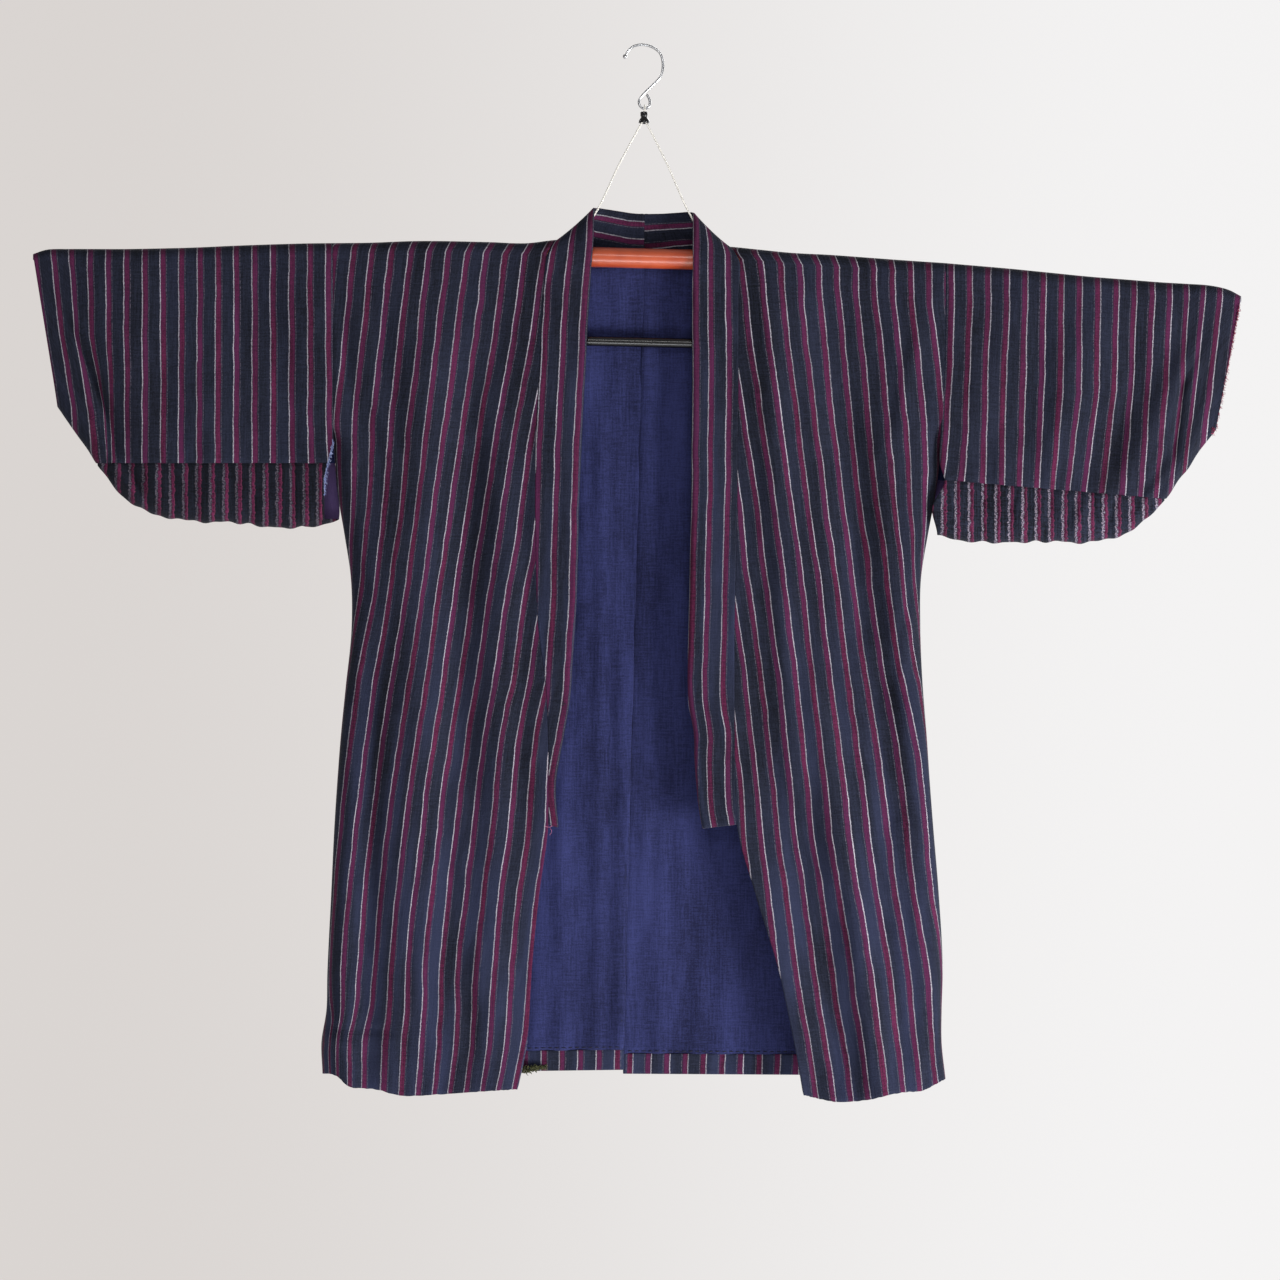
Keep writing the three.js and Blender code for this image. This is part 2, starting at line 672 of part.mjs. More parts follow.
// A round bar through a few points with its sections upright across the run.
function loftBar(centres, radius, sides) {
  const rings = centres.map((centre) => Array.from({ length: sides }, (_, i) => {
    const angle = (2 * Math.PI * i) / sides;
    const ring = new THREE.Vector3(0, radius * Math.cos(angle), radius * Math.sin(angle));
    return ring.add(centre);
  }));
  const forward = centres[centres.length - 1].x > centres[0].x;
  const positions = rings.flat().concat([centres[0], centres[centres.length - 1]]);
  const index = [];
  const add = (a, b, c) => (forward ? index.push(a, b, c) : index.push(a, c, b));
  const first = rings.length * sides;
  for (let i = 0; i < sides; i += 1) {
    const next = (i + 1) % sides;
    for (let r = 0; r < rings.length - 1; r += 1) {
      const low = r * sides;
      const high = low + sides;
      add(low + i, high + next, high + i);
      add(low + i, low + next, high + next);
    }
    const end = (rings.length - 1) * sides;
    add(first, next, i);
    add(first + 1, end + i, end + next);
  }
  const geometry = new THREE.BufferGeometry().setFromPoints(positions);
  geometry.setIndex(index);
  geometry.computeVertexNormals();
  return geometry;
}

function hangerRod() {
  const start = new THREE.Vector3(-ROD_HALF, 0, rodAxis(-ROD_HALF));
  const end = new THREE.Vector3(ROD_HALF, 0, rodAxis(ROD_HALF));
  return loftBar([start, end], ROD_RADIUS, 20);
}

function hangerLink(side) {
  const x = signOf(side) * LINK_AT;
  const top = tubeAxis(x) - TUBE_RADIUS - RUNNING_GAP;
  const bottom = rodAxis(x) + ROD_RADIUS + RUNNING_GAP;
  const geometry = new THREE.CylinderGeometry(LINK_RADIUS, LINK_RADIUS, top - bottom, 12);
  geometry.rotateX(Math.PI / 2);
  geometry.translate(x, 0, (top + bottom) / 2);
  return geometry;
}

const wasm = await Module();
wasm.setup();

// A closed mesh as a solid that can be joined to another.
function solid(geometry) {
  const bare = geometry.clone();
  bare.deleteAttribute('normal');
  bare.deleteAttribute('uv');
  const merged = mergeVertices(bare, 1e-4);
  return new wasm.Manifold(new wasm.Mesh({
    numProp: 3,
    vertProperties: new Float32Array(merged.attributes.position.array),
    triVerts: new Uint32Array(merged.index.array),
  }));
}

function joined(first, second) {
  const mesh = solid(first).add(solid(second)).getMesh();
  const geometry = new THREE.BufferGeometry();
  geometry.setAttribute('position', new THREE.BufferAttribute(mesh.vertProperties, 3));
  geometry.setIndex(new THREE.BufferAttribute(mesh.triVerts, 1));
  geometry.computeVertexNormals();
  return geometry;
}

// The hook is one wire: a ball at its free end, the crook, a short neck, and
// an eye bent round at the bottom for the cord.
function hangerHook() {
  const route = table(['x', 'y', 'z'], [
    [-18, 0, -10.8],
    [-14, 0, -4.2],
    [-8.6, 0, -0.2],
    [0, 0, 1.35],
    [10.6, 0, -1.4],
    [18.4, 0, -8],
    [21.1, 0, -19.6],
    [18.6, 0, -31.4],
    [9.2, 0, -41.6],
    [0.4, 0, -50.4],
    [-3.6, 0, -57],
    [-2, 0, -62.4],
    [EYE_MIDDLE, 0, EYE_BOTTOM],
    [6.8, 0, -62],
    [7.4, 0, -56],
    [4.6, 0, -50],
  ]).map(({ x, y, z }) => new THREE.Vector3(x, y, z));
  const wire = barAlong(route, HOOK_WIRE, 8, 44);
  const ball = new THREE.SphereGeometry(HOOK_BALL, 12, 7);
  ball.translate(route[0].x, route[0].y, route[0].z);
  return joined(wire, ball);
}

// A bell-shaped toggle, bored through for the two runs of the cord.
function hangerToggle() {
  const profile = table(['radius', 'down'], [
    [3.2, 0],
    [3.5, 0],
    [3.8, 0.5],
    [3.8, 4],
    [3.2, 4.8],
    [3.5, 6],
    [4.9, 7.8],
    [5.7, 10],
    [5.6, 11.3],
    [4.9, 11.6],
    [4.6, 11.6],
    [2.7, 6],
    [2.7, 2],
    [3.2, 0],
  ]).map(({ radius, down }) => new THREE.Vector2(radius, TOGGLE_TOP - down));
  const geometry = new THREE.LatheGeometry(profile.reverse(), 20);
  geometry.rotateX(Math.PI / 2);
  geometry.translate(TOGGLE_AT, 0, 0);
  return geometry;
}

// One white cord: from the tube up through the toggle, over the bottom of the
// hook's eye, and back down through the toggle to the tube.
function hangerCord() {
  const foot = (x) => tubeAxis(x) + TUBE_RADIUS + RUNNING_GAP + CORD_RADIUS;
  const loop = Array.from({ length: CORD_LOOP_POINTS }, (_, i) => {
    const angle = (Math.PI * i) / (CORD_LOOP_POINTS - 1);
    return [EYE_MIDDLE, -CORD_LOOP * Math.cos(angle), EYE_BOTTOM + CORD_LOOP * Math.sin(angle)];
  });
  const route = table(['x', 'y', 'z'], [
    [-CORD_FOOT, 0, foot(-CORD_FOOT)],
    [-45.5, 0, -167],
    [-24, -0.5, -122],
    [-2.9, -1.1, -83],
    [0.2, -1.3, -77.4],
    [1.5, -1.35, -73.2],
    [1.9, -1.4, -70.2],
    [2.1, -1.75, -67.8],
    ...loop,
    [2.1, 1.75, -67.8],
    [1.8, 1.4, -70.2],
    [1.7, 1.35, -73.2],
    [3, 1.3, -77.4],
    [6.1, 1.1, -83],
    [26, 0.5, -123],
    [46.5, 0, -169],
    [CORD_FOOT, 0, foot(CORD_FOOT)],
  ]).map(({ x, y, z }) => new THREE.Vector3(x, y, z));
  return barAlong(route, CORD_RADIUS, 8, 64);
}

function hanger() {
  return [
    piece('hanger_tube', hangerTube(), COLOURS.tubeLacquer),
    piece('hanger_arm_right', hangerArm('right'), COLOURS.tubeLacquer),
    piece('hanger_arm_left', hangerArm('left'), COLOURS.tubeLacquer),
    piece('hanger_rod', hangerRod(), COLOURS.blackPlastic),
    piece('hanger_link_right', hangerLink('right'), COLOURS.steelWire),
    piece('hanger_link_left', hangerLink('left'), COLOURS.steelWire),
    piece('hanger_hook', hangerHook(), COLOURS.steelWire),
    piece('hanger_toggle', hangerToggle(), COLOURS.blackPlastic),
    piece('hanger_cord', hangerCord(), COLOURS.whiteCord),
  ];
}

const noragi = new THREE.Group();
noragi.add(...garmentHalf('right'), ...garmentHalf('left'), ...hanger());

export default noragi;
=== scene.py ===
# %% [markdown]
# # A noragi on a kimono hanger
# A noragi is a work jacket sewn from narrow hand-woven cloth: two body strips that go over the
# shoulders, two sleeves, a collar strip that runs round the neck, and an indigo lining.
# The CAD model fixes the size and the large folds. This scene builds the same cloth again as finer
# walls, with the stripes, the weave, the seams and the loose threads that the solids leave out.
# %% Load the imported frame
import math

import bpy
import numpy as np
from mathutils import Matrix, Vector


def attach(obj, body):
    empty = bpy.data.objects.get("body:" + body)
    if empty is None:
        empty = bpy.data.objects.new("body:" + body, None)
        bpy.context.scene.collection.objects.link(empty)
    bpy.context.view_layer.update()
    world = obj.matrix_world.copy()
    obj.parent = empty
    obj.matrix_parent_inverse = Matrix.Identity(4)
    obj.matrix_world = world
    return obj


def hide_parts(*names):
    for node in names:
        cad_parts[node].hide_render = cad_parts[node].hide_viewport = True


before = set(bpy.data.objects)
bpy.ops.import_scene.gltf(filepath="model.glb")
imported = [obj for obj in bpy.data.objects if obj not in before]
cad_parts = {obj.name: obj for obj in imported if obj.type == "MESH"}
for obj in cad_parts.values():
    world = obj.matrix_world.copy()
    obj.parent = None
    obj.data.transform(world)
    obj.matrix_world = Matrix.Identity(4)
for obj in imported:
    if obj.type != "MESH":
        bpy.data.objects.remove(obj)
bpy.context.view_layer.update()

# %% [markdown]
# ## Units and tables
# Sizes are in millimetres, as on the paper pattern, and become metres when a mesh is made.
# A short table has one row for each place that was measured on the garment. Reading it on a smooth
# curve through the rows gives as many sections as the cloth needs.
# %% Helpers for tables and soft steps
MM = 0.001
SIDES = ("right", "left")
FACING = (0, -1, 0)
EYE_DISTANCE = 3100
EYE_Z = -612


def table(names, rows):
    """Columns of a short table by name."""
    return dict(zip(names.split(), np.array(rows, float).T))


def read(keys, values, at):
    """Reads a column between its keys, on a cubic curve through its rows.

    Each stretch is a Hermite curve: its ends have the rows' values and the slopes between
    their neighbours. Past the ends the last value holds.
    """
    order = np.argsort(keys)
    keys, values = np.asarray(keys, float)[order], np.asarray(values, float)[order]
    slopes = np.gradient(values, keys, axis=0)
    at = np.clip(at, keys[0], keys[-1])
    low = np.clip(np.searchsorted(keys, at) - 1, 0, len(keys) - 2)
    gap = keys[low + 1] - keys[low]
    t = (at - keys[low]) / gap
    if values.ndim > 1:
        gap, t = gap[..., None], t[..., None]
    start = (1 + 2 * t) * (1 - t) ** 2 * values[low] + t * (1 - t) ** 2 * gap * slopes[low]
    end = t**2 * (3 - 2 * t) * values[low + 1] - t**2 * (1 - t) * gap * slopes[low + 1]
    return start + end


def mix(a, b, t):
    """A value between a and b, a share t of the way."""
    return a + (b - a) * t


def ease(t):
    """0 to 1 with soft ends, held at 0 and 1 outside."""
    t = np.clip(t, 0, 1)
    return t * t * (3 - 2 * t)


def rounding(distance, width):
    """Quarter of an ellipse: 0 at a closed edge, 1 past the rounding's width."""
    return np.sqrt(1 - (1 - np.clip(distance / width, 0, 1)) ** 2)


def crowded(count, crowd):
    """Places from 0 to 1 that lie closer together at both ends."""
    u = np.linspace(0, 1, count)
    return u - crowd * np.sin(2 * math.pi * u) / (2 * math.pi)


def outward(side):
    """Which way along X a side lies: the wearer's right is -X."""
    return -1 if side == "right" else 1


print("a soft step passes a quarter of the way at", round(float(ease(0.25)), 3))

# %% [markdown]
# ## The hanging form
# The jacket hangs flat on a long tube, so each panel is a sheet at a small depth in front of or
# behind the tube. A few tables hold the outline as it hangs, the same ones as the solids use.
# %% Outline tables
WALL = 1.2
SEAM_GAP = 0.4
CLOSED_HALF = 0.9
SHOULDER_DEPTH = 12.6
SHOULDER_ROUND = 11.25
SHOULDER_MIDDLE = 11.95
FRONT_SPREAD = 10
BACK_SPREAD = 2
SPREAD_LENGTH = 350
SIDE_ROUND = 26
ARMHOLE_END = -398
ARMHOLE_FADE = 24
CHEST_HEIGHT = -302
SLEEVE_FOOT_ROUND = 30
CENTRE_TOP = -222
CENTRE_OFFSET = 2
CENTRE_LEAN = 0.026
TURN_UP = 20
SOLID_HALF_WALL = 0.7

SHOULDER = {
    "right": table("x z", [
        (60, -199.5), (87, -199.5), (120, -203), (157, -201.9), (239, -200.9), (281, -202.5),
        (319, -202.9),
    ]),
    "left": table("x z", [
        (60, -206.5), (87, -206.5), (120, -209.6), (152, -212.8), (193, -215), (234, -218), (275, -221),
        (313, -223.5),
    ]),
}

FRONT = {
    "right": table("side_z side edge_z edge", [
        (-250, 319, -250, 102), (-298, 319, -298, 105), (-340, 319, -340, 107), (-376, 319, -376, 109),
        (-400, 318.5, -400, 110), (-426, 317, -426, 110.5), (-462, 314, -462, 111), (-505, 307, -505, 110.5),
        (-545, 301, -545, 110), (-600, 300, -600, 107.5), (-660, 306, -660, 100), (-710, 311, -710, 97.5),
        (-755, 314.5, -755, 97), (-801, 317.5, -801, 97.5), (-874, 321, -874, 107), (-957, 325, -957, 115),
        (-994, 326, -994, 117), (-1026, 331, -1028, 119.5), (-1057, 330, -1074, 129),
    ]),
    "left": table("side_z side edge_z edge", [
        (-256, 313, -256, 99), (-298, 312, -298, 99), (-340, 311, -340, 99), (-376, 309.5, -376, 98.5),
        (-400, 308.5, -400, 98), (-426, 307, -426, 98), (-462, 302, -462, 98), (-505, 294, -505, 97),
        (-545, 287.5, -545, 96), (-600, 286.5, -600, 95), (-660, 289, -660, 95), (-710, 293, -710, 95),
        (-755, 296, -755, 95.5), (-801, 299.5, -801, 97.5), (-874, 305.5, -874, 117),
        (-957, 309.5, -957, 142), (-994, 308.4, -994, 150), (-1026, 308.4, -1028, 157),
        (-1063.6, 312.4, -1080, 166),
    ]),
}

# Inner edge of a panel over the hanger, front to back, and round the neck cut at the back.
NECK_OVER = {"right": (99, 87, 76), "left": (101, 88, 76)}
BACK_NECK = {
    "right": table("side_z edge_z edge", [(-226, -214.5, 62), (-236, -219.2, 42), (-246, -221.3, 20)]),
    "left": table("side_z edge_z edge", [(-246, -220.3, 62), (-250, -221, 42), (-254, -221.6, 20)]),
}
NECK_STEP = 12
BACK_HEM = {"right": (-1058, -1054), "left": (-1060, -1058)}
HEM_DROP = {
    "right": table("across drop", [
        (0, 0), (0.067, 2), (0.133, 12), (0.2, 12.5), (0.27, 12.5), (0.38, 16.5), (0.59, 12.4),
        (0.76, 7.2), (1, 0),
    ]),
    "left": table("across drop", [
        (0, 0), (0.06, 3.7), (0.157, 9.2), (0.275, 8.8), (0.383, 9.6), (0.5, 12), (0.644, 12.4),
        (0.779, 10.6), (0.887, 5.8), (1, 0),
    ]),
}

SLEEVE = {
    "right": table("top_x top_z foot_x foot_z fill", [
        (627, -214, 602, -372, 0.55), (612, -209.5, 584, -398, 0.7), (590, -209, 565, -425, 0.83),
        (562, -209, 546, -452, 0.9), (532, -209, 522, -474, 1), (497, -208.4, 492, -485, 1),
        (460, -207.4, 458, -490, 1), (420, -205.6, 420, -491, 1), (381, -204.2, 381, -496, 1),
        (345, -203.2, 346, -495.5, 1), (319, -202.9, 319, -489, 1),
    ]),
    "left": table("top_x top_z foot_x foot_z fill", [
        (616, -257.5, 590, -396, 0.55), (602, -250.5, 575, -415, 0.7), (583, -246.4, 559, -438, 0.83),
        (560, -244.8, 541, -463, 0.9), (530, -243, 516, -490, 1), (498, -240.4, 490, -505, 1),
        (460, -237.4, 458, -511.5, 1), (420, -233.4, 420, -510.5, 1), (380, -229.4, 381, -511.5, 1),
        (345, -226.3, 345, -511, 1), (313, -223.5, 311, -505, 1),
    ]),
}
PATCH_FROM = {"right": 0.224, "left": 0.318}
print("width over both sleeves, mm:", SLEEVE["right"]["top_x"][0] + SLEEVE["left"]["top_x"][0])
print("hem below the hook, mm:", -FRONT["right"]["edge_z"][-1], -FRONT["left"]["edge_z"][-1])

# %% [markdown]
# ## Folds
# The cloth has hung for a long time, so its folds are long, soft and nearly upright. The large ones
# are the solids' own folds. Finer creases lie over them: the sharp slanting fold by each cuff, the
# drag lines from the armholes and the puckers at the hem. Each is a line with a half width, and it
# stands out where its last number is above zero.
# %% Fold tables and the cloth's depth
FOLDS = {
    "right": [
        (178, -344, 193, -735, 22, -5), (224, -344, 245, -1044, 26, 5), (118, -400, 128, -777, 14, -2.5),
        (145, -447, 157, -1065, 18, 4), (278, -640, 285, -1040, 18, -4), (595, -300, 535, -416, 15, -3.5),
        (565, -262, 505, -406, 17, 3), (480, -330, 360, -410, 26, -3),
    ],
    "left": [
        (128, -275, 157, -735, 15, 4.5), (193, -293, 234, -653, 26, -5), (245, -426, 262, -600, 17, 4),
        (147, -777, 200, -1044, 20, -4), (183, -694, 245, -1075, 17, 6), (250, -674, 272, -1000, 18, -4),
        (585, -290, 502, -437, 14, 2.8), (554, -293, 461, -437, 17, -2.6), (471, -262, 430, -406, 20, 3),
        (420, -262, 379, -385, 22, -3),
    ],
}
CREASES = {
    "right": [
        (592, -284, 557, -360, 5, -3.2), (560, -350, 546, -402, 5, -3.2),
        (600, -262, 566, -372, 6, 1.4), (556, -405, 520, -452, 5, -1.4),
        (314, -250, 300, -360, 7, -1.2), (296, -270, 262, -420, 9, 1.1), (308, -500, 286, -560, 7, -1.6),
        (300, -575, 292, -660, 6, 1.2), (331, -1010, 272, -1015, 3.5, -2.4),
        (328, -1022, 296, -1030, 5, 1.8),
        (172, -420, 181, -560, 8, -1.2), (205, -560, 214, -742, 9, 1.2), (132, -560, 138, -720, 7, 1),
        (262, -700, 270, -930, 8, 1.4), (238, -860, 246, -1060, 7, -1.1), (196, -800, 204, -960, 9, -1.2),
        (168, -930, 172, -1075, 6, 1.1), (420, -240, 412, -330, 10, -0.9), (352, -300, 345, -420, 9, 0.9),
        (455, -360, 440, -470, 8, 1), (500, -420, 470, -478, 6, -1.1),
        (548, -436, 530, -466, 4, -1.8), (536, -446, 514, -478, 5, 1.6), (520, -455, 502, -486, 4, -2),
        (504, -456, 488, -490, 5, 1.5), (484, -462, 476, -492, 4, -1.6), (448, -466, 444, -494, 5, 1.2),
        (424, -450, 420, -494, 4, -1.3), (392, -462, 390, -498, 5, 1.2), (362, -440, 358, -498, 5, -1.5),
    ],
    "left": [
        (577, -305, 556, -352, 4.5, -1.8), (556, -350, 548, -412, 4.5, -3),
        (600, -300, 566, -418, 6, 1.4), (540, -420, 512, -470, 5, -1.3),
        (309, -270, 302, -440, 6, -1.3), (290, -262, 262, -400, 9, 1.2), (272, -300, 255, -380, 7, -1),
        (296, -520, 270, -590, 7, -1.6), (283, -560, 268, -640, 6, 1.3), (176, -330, 190, -520, 9, 1.1),
        (212, -430, 226, -600, 8, -1.1), (150, -520, 160, -690, 8, -1.1), (222, -650, 236, -800, 8, 1.1),
        (258, -820, 270, -1000, 7, 1.3), (205, -880, 222, -1050, 8, -1.2), (176, -900, 190, -1070, 7, 1.1),
        (290, -900, 296, -1060, 7, -1.2), (395, -300, 372, -430, 8, 1), (510, -300, 486, -420, 9, -1.2),
        (450, -330, 428, -450, 8, -1), (345, -270, 340, -400, 9, 0.9),
        (566, -424, 548, -452, 4, -1.8), (552, -440, 532, -472, 5, 1.6), (536, -456, 514, -492, 4, -2),
        (516, -470, 498, -506, 5, 1.5), (484, -478, 472, -512, 4, -1.7), (452, -482, 442, -512, 5, 1.4),
        (420, -466, 414, -512, 4, -1.4), (388, -478, 386, -512, 5, 1.3), (350, -462, 346, -512, 5, -1.4),
    ],
}
BACK_SHARE = 0.5
FOLD_FADE = 60
CREASE_FADE = 28
FOLD_HEAD = 70
FOLD_GAIN = 1.45
CREASE_GAIN = 1.6
RIPPLE = 0.7
ARMHOLE_AT = {"right": 319, "left": 313}
PATCH_SEAM = {"right": (-429.5, 0), "left": (-447, -0.085)}
GROOVE = 1.3
GROOVE_HALF = 3
RIPPLE_WAVES = ((95, 330, 1), (61, 240, 0.8), (43, 150, 0.6), (29, 118, 0.4), (21, 70, 0.25))
BACK_CREASE_SHIFT = (24, -40)
print("folds and creases a side:", [len(FOLDS[side]) + len(CREASES[side]) for side in SIDES])


def out_from(lines, fade, x, z):
    """Sum of folds at a point: each adds its height times a bell curve across its line,
    faded in and out past the line's two ends."""
    total = np.zeros(np.broadcast(x, z).shape)
    for x1, z1, x2, z2, width, out in lines:
        length = math.hypot(x2 - x1, z2 - z1)
        run = ((x - x1) * (x2 - x1) + (z - z1) * (z2 - z1)) / length
        off = ((x - x1) * (z2 - z1) - (z - z1) * (x2 - x1)) / length
        ends = ease(run / fade + 1) * ease((length - run) / fade + 1)
        total += out * ends * np.exp(-((off / width) ** 2))
    return total


def ripple(x, z, seed):
    """Small unevenness of hanging cloth: a few waves, longer down the cloth than across it."""
    rng = np.random.default_rng(seed)
    total = np.zeros(np.broadcast(x, z).shape)
    for across, down, share in RIPPLE_WAVES:
        lean, phase = rng.uniform(-0.5, 0.5), rng.uniform(0, 2 * math.pi, 2)
        wave = np.sin(2 * math.pi * (x + lean * z) / across + phase[0])
        total += share * wave * np.sin(2 * math.pi * (z - lean * x) / down + phase[1])
    return total


def seam_groove(side, x, z):
    """The cloth sinks into its seams: down the armhole, and along the sleeve's bottom strip,
    where the stitches also draw it into small puckers."""
    at, (height, slope) = ARMHOLE_AT[side], PATCH_SEAM[side]
    armhole = np.exp(-(((x - at) / GROOVE_HALF) ** 2)) * ease((z - ARMHOLE_END) / 12)
    strip = np.exp(-(((z - height - slope * (x - at)) / GROOVE_HALF) ** 2)) * ease((x - at) / 8)
    pucker = 1 + 0.35 * np.sin(z / 1.9 + 2 * np.sin(z / 17)) * np.sin(x / 2.3 + 2 * np.sin(x / 23))
    return -GROOVE * (armhole + strip) * pucker


def hang_depth(layer, side, x, z, drop):
    """Distance of the cloth from the hanger's plane: the tube's own depth, a spread that grows
    down the cloth, and the folds, which start below the shoulder."""
    spread = FRONT_SPREAD if layer < 0 else BACK_SPREAD
    large = FOLD_GAIN * out_from(FOLDS[side], FOLD_FADE, x, z)
    fine = CREASE_GAIN * out_from(CREASES[side], CREASE_FADE, x, z)
    if layer > 0:
        shift_x, shift_z = BACK_CREASE_SHIFT
        large = large * BACK_SHARE
        fine = out_from(CREASES[side], CREASE_FADE, x + shift_x, z + shift_z)
    uneven = RIPPLE * ripple(x, z, 11 + 2 * (side == "left") + (layer > 0))
    head = ease(drop / FOLD_HEAD)
    spread = spread * (1 - np.exp(-drop / SPREAD_LENGTH))
    return SHOULDER_DEPTH + spread + (large + fine + uneven) * head + seam_groove(side, x, z)


def shoulder_top(side, x):
    """Height of the middle of the cloth's arc over the hanger."""
    return read(SHOULDER[side]["x"], SHOULDER[side]["z"], np.abs(x)) - SHOULDER_MIDDLE


def armhole_blend(z):
    """0 beside the armhole, 1 below it, where the side is sewn shut."""
    return ease((ARMHOLE_END - z) / ARMHOLE_FADE + 0.5)


def side_edge(side, z):
    """Side edge of a panel at a height."""
    rows = FRONT[side]
    return read(rows["side_z"], rows["side"], z) - SEAM_GAP / 2 - SOLID_HALF_WALL * armhole_blend(z)


def centre_seam(z):
    """Place of the seam down the middle of the back, which leans a little."""
    return CENTRE_OFFSET + CENTRE_LEAN * (z - CENTRE_TOP)


def body_point(side, layer, x, z, side_x):
    """A point of the hanging part of a panel; x is the distance outwards."""
    drop = np.maximum(0, shoulder_top(side, x) - z)
    depth = hang_depth(layer, side, x, z, drop)
    closed = np.maximum(CLOSED_HALF, depth * rounding(side_x - x, SIDE_ROUND))
    y = layer * mix(depth, closed, armhole_blend(z))
    return np.stack(np.broadcast_arrays(outward(side) * x, y, z), axis=-1)


# %% [markdown]
# ## Closed cloth walls
# Each piece is a grid of points in the middle of the cloth. The wall is the grid moved half the
# cloth's thickness both ways, closed by a rounded rim, so that every edge shows a real thickness.
# Three numbers ride on each point: the place across the stripes counted in repeats, the length down
# the cloth, and whether the point is on the lined inside. The materials read them.
# %% Mesh builders
def normals_of(grid):
    """Unit normals of a grid of points, from the steps to the neighbours both ways."""
    along, across = np.gradient(grid, axis=0), np.gradient(grid, axis=1)
    normal = np.cross(along, across)
    return normal / np.maximum(1e-9, np.linalg.norm(normal, axis=-1, keepdims=True))


def loop_round(rows, columns):
    """Row and column numbers of a grid's edge points, once round."""
    top = [(0, j) for j in range(columns)]
    right = [(i, columns - 1) for i in range(1, rows)]
    bottom = [(rows - 1, j) for j in range(columns - 2, -1, -1)]
    left = [(i, 0) for i in range(rows - 2, 0, -1)]
    return np.array(top + right + bottom + left)


def new_mesh(name, points, faces, cloth=None):
    """A smooth-shaded mesh object from points in millimetres and lists of their numbers, with the
    cloth's three numbers of each point where they are given."""
    mesh = bpy.data.meshes.new(name)
    mesh.from_pydata((np.asarray(points, float) * MM).tolist(), [], faces)
    mesh.polygons.foreach_set("use_smooth", np.ones(len(mesh.polygons), bool))
    if cloth is not None:
        kept = mesh.attributes.new("cloth", "FLOAT_VECTOR", "POINT")
        kept.data.foreach_set("vector", np.asarray(cloth, np.float32).ravel())
    mesh.update()
    piece = bpy.data.objects.new(name, mesh)
    bpy.context.scene.collection.objects.link(piece)
    return piece


def from_plane(points):
    """The outline was measured as if all of it lay in the hanger's plane. Points nearer the
    viewer look larger, so they are drawn in towards the eye's axis by their share of the way."""
    scale = 1 + points[..., 1:2] / EYE_DISTANCE
    height = EYE_Z + (points[..., 2:] - EYE_Z) * scale
    return np.concatenate([points[..., :1] * scale, points[..., 1:2], height], -1)


def cloth_wall(name, grid, cloth, cloth_inside, thickness, outside):
    """A closed wall round a grid of middle points: the grid moved half the thickness both ways
    along its normals, and a rim half a thickness past its edge. outside is the way the outer face
    looks at the grid's first point, and the grid is turned over where it looks the other way."""
    grid = from_plane(grid)
    if np.dot(normals_of(grid)[0, 0], outside) < 0:
        grid, cloth, cloth_inside = grid[:, ::-1], cloth[:, ::-1], cloth_inside[:, ::-1]
    rows, columns = grid.shape[:2]
    normal = normals_of(grid)
    edge = loop_round(rows, columns)
    inner = np.clip(edge, 1, [rows - 2, columns - 2])
    away = grid[edge[:, 0], edge[:, 1]] - grid[inner[:, 0], inner[:, 1]]
    away /= np.maximum(1e-9, np.linalg.norm(away, axis=1, keepdims=True))
    rim = grid[edge[:, 0], edge[:, 1]] + away * thickness / 2
    half = normal * thickness / 2
    points = np.concatenate([(grid + half).reshape(-1, 3), (grid - half).reshape(-1, 3), rim])
    place = np.arange(rows * columns).reshape(rows, columns)
    a, b, c, d = place[:-1, :-1], place[1:, :-1], place[1:, 1:], place[:-1, 1:]
    outer = np.stack([a, b, c, d], -1).reshape(-1, 4)
    under = np.stack([a, d, c, b], -1).reshape(-1, 4) + rows * columns
    near = place[edge[:, 0], edge[:, 1]]
    ring = 2 * rows * columns + np.arange(len(edge))
    far = near + rows * columns
    turn = [np.roll(v, -1) for v in (near, ring, far)]
    upper_rim = np.stack([near, turn[0], turn[1], ring], -1)
    lower_rim = np.stack([ring, turn[1], turn[2], far], -1)
    faces = np.concatenate([outer, under, upper_rim, lower_rim])
    marks = [cloth.reshape(-1, 3), cloth_inside.reshape(-1, 3), cloth[edge[:, 0], edge[:, 1]]]
    return new_mesh(name, points, faces.tolist(), np.concatenate(marks))


def cloth_marks(across, down, inside):
    """The three numbers of each point of a grid."""
    return np.stack(np.broadcast_arrays(across, down, inside), axis=-1).astype(float)


def lengths_down(grid):
    """Length down the cloth at each row, measured along the middle column."""
    middle = grid[:, grid.shape[1] // 2]
    steps = np.linalg.norm(np.diff(middle, axis=0), axis=1)
    return np.concatenate([[0], np.cumsum(steps)])[:, None]


def lengths_across(grid):
    """Length across the cloth at each point of each row, from the first column."""
    steps = np.linalg.norm(np.diff(grid, axis=1), axis=2)
    return np.concatenate([np.zeros((len(grid), 1)), np.cumsum(steps, axis=1)], axis=1)


